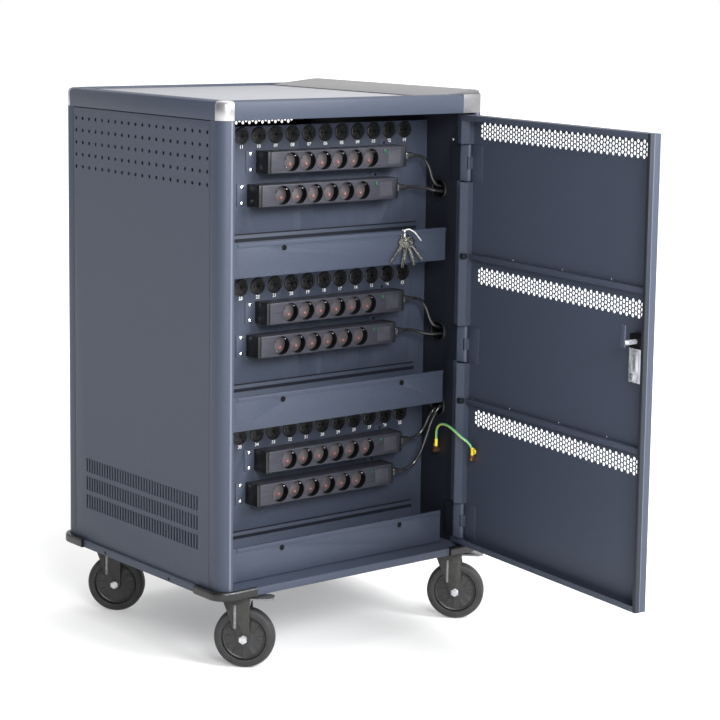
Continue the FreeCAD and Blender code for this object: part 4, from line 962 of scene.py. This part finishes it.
# bright edges of the hinge leaves on the wall, and the loose end of the key tie
hingeEdge = {"low": (299.2, -253.6), "high": (300.0, -251.2), "reach": 37.0, "ease": 0.25}
edges = bmesh.new()
for z in doorPan["hingeHeights"]:
    shapeBox(edges, (*hingeEdge["low"], z - hingeEdge["reach"]), (*hingeEdge["high"], z + hingeEdge["reach"]),
             hingeEdge["ease"], 1)
addPiece("hingeEdges", edges, finishes["zinc_steel"])
tieTail = {"half": (1.6, 0.9), "corners": ((-1, -1), (1, -1), (1, 1), (-1, 1)), "route": (
    (158.0, -257.6, 868.0), (168.0, -258.5, 869.0), (182.0, -259.5, 861.0), (199.0, -260.0, 843.0))}
tail = bmesh.new()
wide, thick = tieTail["half"]
shapeLoft(tail, [[(x, y + a * wide, z + b * thick) for a, b in tieTail["corners"]]
                 for x, y, z in tieTail["route"]])
addPiece("tieTail", tail, finishes["tie_white"])

# screws and rivets: radius and rise of each head, and where the heads sit
screws = {"bracket": (4.2, 1.6), "bracketInset": 20.5, "bracketReach": 16.5, "bracketThick": 2.0,
          "tab": (3.0, 1.2),
          "tabRise": 27.5, "tray": (3.2, 1.6), "traySpots": ((158.5, 855.0), (-145.5, 229.6), (161.5, 231.2)),
          "wall": (3.6, 1.8), "wallSpots": ((-244.5, 637.8), (-243.3, 219.5), (-241.3, 1053.5)),
          "bar": (2.6, 1.3),
          "barSpots": (146.0, -21.0, -176.0), "barHeights": (814.8, 500.8), "base": (3.4, 0.8),
          "baseSpots": (127.9, -118.8), "baseHeight": 162.0, "baseFace": 345.0}


def screwHeads(heads):
    bm = bmesh.new()
    for kind, place, way in heads:
        shapeDome(bm, place, way, *screws[kind])
    closeShape(bm)
    return bm


def barRivets():
    spots = [(x, doorSkin, z) for z in screws["barHeights"] for x in screws["barSpots"]]
    return screwHeads([("bar", spot, toBack) for spot in spots])


bracketFace = cabinet["partitionFace"] - screws["bracketThick"]
inset, reach = screws["bracketInset"], screws["bracketReach"]
brightHeads = [("bracket", (left - inset, bracketFace, middle + side * reach), toFront)
               for left, middle in stripPlaces() for side in (-1, 1)]
brightHeads += [("tray", (x, cabinet["partitionFace"], z), toFront) for x, z in screws["traySpots"]]
brightHeads += [("wall", (cabinet["innerWall"], y, z), (-1, 0, 0)) for y, z in screws["wallSpots"]]
tabHeads = [("tab", (left + strip["length"] - inset, bracketFace, middle + screws["tabRise"]), toFront)
            for left, middle in stripPlaces()]
baseHeads = [("base", (side * screws["baseFace"], y, screws["baseHeight"]), (side, 0, 0))
             for side in (-1, 1) for y in screws["baseSpots"]]
addPiece("cabinetScrews", screwHeads(brightHeads), boltMetal)
addPiece("tabScrews", screwHeads(tabHeads), wellBlack)
addPiece("baseScrews", screwHeads(baseHeads), wellBlack)
addToDoors("Rivets", barRivets, boltMetal)

# raised plate and cylinder on each lock case, and the window and core inside them
lock = {"middle": -271.0, "face": -284.5, "half": 10.0, "heights": (646.0, 688.0), "plate": (-0.4, 1.6),
        "plateEase": 1.4, "cylinder": (-264.0, 638.0), "ring": (9.0, 2.4, 24, 0.6), "ringStart": -0.2,
        "windowHalf": 4.5, "windowHeights": (652.0, 683.0), "window": (1.0, 1.8), "windowEase": 0.3,
        "core": (7.0, 1.0, 20, 0.2), "coreStart": 1.4}


def lockPlate(bm, half, heights, depths, ease, steps):
    (low, high), (start, end) = heights, depths
    shapeBox(bm, (lock["middle"] - half, lock["face"] + start, low),
             (lock["middle"] + half, lock["face"] + end, high), ease, steps)


def lockDisc(bm, start, shape):
    x, z = lock["cylinder"]
    shapeDisc(bm, (x, lock["face"] + start, z), toBack, *shape)


def lockRelief():
    bm = bmesh.new()
    lockPlate(bm, lock["half"], lock["heights"], lock["plate"], lock["plateEase"], 3)
    lockDisc(bm, lock["ringStart"], lock["ring"])
    return bm


def lockInset():
    bm = bmesh.new()
    lockPlate(bm, lock["windowHalf"], lock["windowHeights"], lock["window"], lock["windowEase"], 1)
    lockDisc(bm, lock["coreStart"], lock["core"])
    return bm


addToDoors("LockRelief", lockRelief, lockSatin)
addToDoors("LockInset", lockInset, finishes["zinc_steel"])
print("screws and rivets set")

# castor wheels
castor = {"corners": {"front_left": (-284.0, -244.0), "front_right": (284.0, -244.0),
                      "rear_left": (-284.0, 244.0), "rear_right": (284.0, 244.0)},
          "trail": 35.0, "turn": -45.0, "radius": 62.5, "width": 32.0, "hub": 46.0,
          "tyreSides": 56, "hubSides": 40, "foldPlace": (-17.5, 19.9, 84.0),
          "fold": (3.4, 50.0, 16, 0.6), "boltFrom": 21.3, "boltRadius": 9.0}
hubSection = ((5.1, 17.4), (11.5, 17.4), (13.0, 16.2), (13.6, 13.4), (17.0, 12.6), (40.0, 11.0), (42.6, 12.4),
              (43.6, 12.2), (44.0, 8.5), (45.9, 8.5))
# a rib flares towards the rim by its own share on each face of the hub, and sinks there
hubRib = {"count": 12, "along": (14.5, 39.0), "face": 11.0, "half": (1.4, 1.6), "ease": 0.6,
          "flareFrom": 30.0,
          "flares": ((-1, 3.61, 0.0), (1, 1.9, 0.7))}
trailWay = Vector((math.cos(math.radians(castor["turn"])), math.sin(math.radians(castor["turn"])), 0))
axleWay = Vector((-trailWay.y, trailWay.x, 0))


def wheelCentre(corner):
    x, y = castor["corners"][corner]
    return Vector((x, y, castor["radius"])) + trailWay * castor["trail"]


def mirroredSpin(side, corner, sides):
    bm = bmesh.new()
    profile = list(side) + [(r, -a) for r, a in reversed(side)] + [side[0]]
    shapeSpin(bm, profile, wheelCentre(corner), axleWay, zAxis, sides)
    closeShape(bm)
    return bm


def castorTyre(corner):
    half, radius, hub = castor["width"] / 2, castor["radius"], castor["hub"]
    side = ((hub, half - 1.4), (hub + 0.8, half - 0.3), (hub + 3, half), (radius - 8, half),
            (radius - 4, half - 1.2), (radius - 1.4, half - 4.5), (radius, half - 9))
    return mirroredSpin(side, corner, castor["tyreSides"])


def hubRibMesh(turn):
    rib = bmesh.new()
    (start, end), (thick, tall) = hubRib["along"], hubRib["half"]
    for side, flare, sink in hubRib["flares"]:
        middle = side * hubRib["face"]
        shapeBox(rib, (start, middle - thick, -tall), (end, middle + thick, tall), hubRib["ease"])
        for vert in rib.verts:
            if vert.co.x > hubRib["flareFrom"] and vert.co.y * side > 0:
                vert.co.z *= flare
                vert.co.y -= side * sink
    bmesh.ops.transform(rib, matrix=turn, verts=rib.verts)
    mesh = bpy.data.meshes.new("ribWork")
    rib.to_mesh(mesh)
    rib.free()
    return mesh


def castorHub(corner):
    bm = mirroredSpin(hubSection, corner, castor["hubSides"])
    place = Matrix.Translation(wheelCentre(corner)) @ Matrix((trailWay, axleWay, zAxis)).transposed().to_4x4()
    for index in range(hubRib["count"]):
        bm.from_mesh(hubRibMesh(place @ Matrix.Rotation(2 * math.pi * index / hubRib["count"], 4, "Y")))
    return bm


# a light grey bead on each cheek of a fork paints the sheen on its rounded fold
def forkFoldSheens(corner):
    bm = bmesh.new()
    along, apart, height = castor["foldPlace"]
    for side in (-1, 1):
        foot = wheelCentre(corner) + trailWay * along + axleWay * side * apart
        shapeDisc(bm, (foot.x, foot.y, height), zAxis, *castor["fold"])
    return bm


for corner in castor["corners"]:
    wheel = corner + "_wheel"
    addPiece(camelName(corner, "Tyre"), castorTyre(corner), finishes["tyre_grey"], wheel, "tyre_grey",
             [corner + "_castor_tyre"])
    addPiece(camelName(corner, "Hub"), castorHub(corner), finishes["hub_grey"], wheel, "hub_grey",
             [corner + "_castor_hub"])
    addPiece(camelName(corner, "ForkFolds"), forkFoldSheens(corner), pedalZinc, corner + "_castor")
print("castor wheels turned")

# sheet-metal and moulded nodes: merged copies with eased edges
easing = {"weld": 0.000004, "flat": 0.6, "sharp": 28.0, "steps": 2}
# the posts' front edges beside the doors are rounded more, and carry a painted highlight there: a lighter
# copy of the body paint
jambEdge = {"width": 5.0, "steps": 4, "front": 300.0, "slack": 0.5, "within": 318.0, "tall": 100.0}
easedEdges = {
    0.25: "key_tie", 0.35: "keys", 0.5: "corner_posts castor_plates",
    0.8: "handle_end_caps gland_nuts mains_inlet",
    0.3: "inner_walls partition_panel front_hinges rear_hinges "
         "front_door_hinge_leaves rear_door_hinge_leaves",
    0.4: "top_panel device_shelves slot_dividers charger_tray_upper charger_tray_middle charger_tray_lower "
         "strip_brackets wall_earth_stud door_earth_stud",
    0.6: "base_pan top_rails top_corner_caps strip_lamps front_left_castor_fork front_right_castor_fork "
         "rear_left_castor_fork rear_right_castor_fork",
    1.0: "strip_end_caps front_left_brake_pedal front_right_brake_pedal",
    1.2: "push_handle terminal_boxes front_lock_case rear_lock_case", 1.5: "front_handle rear_handle"}
widthOf = {node: width for width, nodes in easedEdges.items() for node in nodes.split()}
# nodes whose names end so have a finish of their own instead of their slot's
# the inner walls take a near-black copy of the body paint as painted shade, and the hinges a lighter copy
# that paints light on them
ownFinish = {"top_corner_caps": capSilver, "strip_brackets": bracketPaint, "inner_walls": bayShadePaint,
             "keys": keyNickel,
             "brake_pedal": pedalZinc, "castor_fork": forkBlack, "castor_plates": forkBlack,
             "front_hinges": hingeHighlightPaint, "rear_hinges": hingeHighlightPaint, "hinge_leaves": finishes["body_paint"],
             "strip_end_caps": membraneBlack, "gland_nuts": boltMetal, "handle_end_caps": blockSilver,
             "lock_case": lockSatin, "front_handle": lockSatin, "rear_handle": lockSatin}


def jambEdges(bm):
    front, slack, within, tall = (jambEdge[key] * mm for key in ("front", "slack", "within", "tall"))
    return [edge for edge in bm.edges
            if all(abs(abs(vert.co.y) - front) < slack and abs(vert.co.x) < within for vert in edge.verts)
            and abs(edge.verts[0].co.z - edge.verts[1].co.z) > tall]


def easedNode(node, width):
    bm = bmesh.new()
    bm.from_mesh(frame["nodes"][node].data)
    bmesh.ops.remove_doubles(bm, verts=bm.verts, dist=easing["weld"])
    bmesh.ops.dissolve_limit(bm, angle_limit=math.radians(easing["flat"]), verts=bm.verts, edges=bm.edges)
    if node == "corner_posts":
        rounded = easeEdges(bm, jambEdges(bm), jambEdge["width"] * mm, jambEdge["steps"])
        for face in rounded["faces"]:
            face.material_index = 1
    sharp = [edge for edge in bm.edges
             if edge.is_manifold and edge.calc_face_angle(0.0) > math.radians(easing["sharp"])]
    bmesh.ops.bevel(bm, geom=sharp, offset=width * mm, offset_type="OFFSET", segments=easing["steps"],
                    profile=0.5, affect="EDGES", material=-1, clamp_overlap=True)
    bmesh.ops.scale(bm, vec=(1 / mm,) * 3, verts=bm.verts)
    return bm


def nearAxle(corner):
    centre = wheelCentre(corner)

    def picked(place):
        away = place - centre
        along = away.dot(axleWay)
        return abs(along) > castor["boltFrom"] and (away - axleWay * along).length < castor["boltRadius"]
    return picked


# faces of a node that carry another finish: the lock's black top and its cam, the back of the
# hinges in painted shade, and the axle bolts
finishLimits = {"lockTop": 693.0, "camReach": 215.0, "camLow": 690.0, "hingeBack": -270.0}
splitPlanes = {"front_lock_case": ((0, 0, finishLimits["lockTop"]), zAxis),
               "front_hinges": ((0, finishLimits["hingeBack"], 0), toBack)}


def onCam(place):
    return place.x < finishLimits["camReach"] and place.z > finishLimits["camLow"]


secondFinish = {"front_lock_case": (lambda place: place.z > finishLimits["lockTop"], wellBlack),
                "front_handle": (onCam, finishes["body_paint"]),
                "front_hinges": (lambda place: place.y > finishLimits["hingeBack"], bayShadePaint)}
for corner in castor["corners"]:
    secondFinish[corner + "_castor_fork"] = (nearAxle(corner), finishes["zinc_steel"])
for node, width in widthOf.items():
    finish = finishes[slotOf[node]]
    for ending, other in ownFinish.items():
        if node.endswith(ending):
            finish = other
    shape = easedNode(node, width)
    if node in splitPlanes:
        cutPlane(shape, *splitPlanes[node])
    if node == "corner_posts":
        finish = [finish, edgeHighlightPaint]
    if node in secondFinish:
        picked, other = secondFinish[node]
        finish = [finish, other]
        for face in shape.faces:
            face.material_index = int(picked(face.calc_center_median()))
    addPiece(camelName(node, "Eased"), shape, finish, bodyOf[node], slotOf[node], [node])
print("eased copies:", len(widthOf))

sizes = [[list(corner) for corner in pair] for pair in (cadBox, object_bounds())]
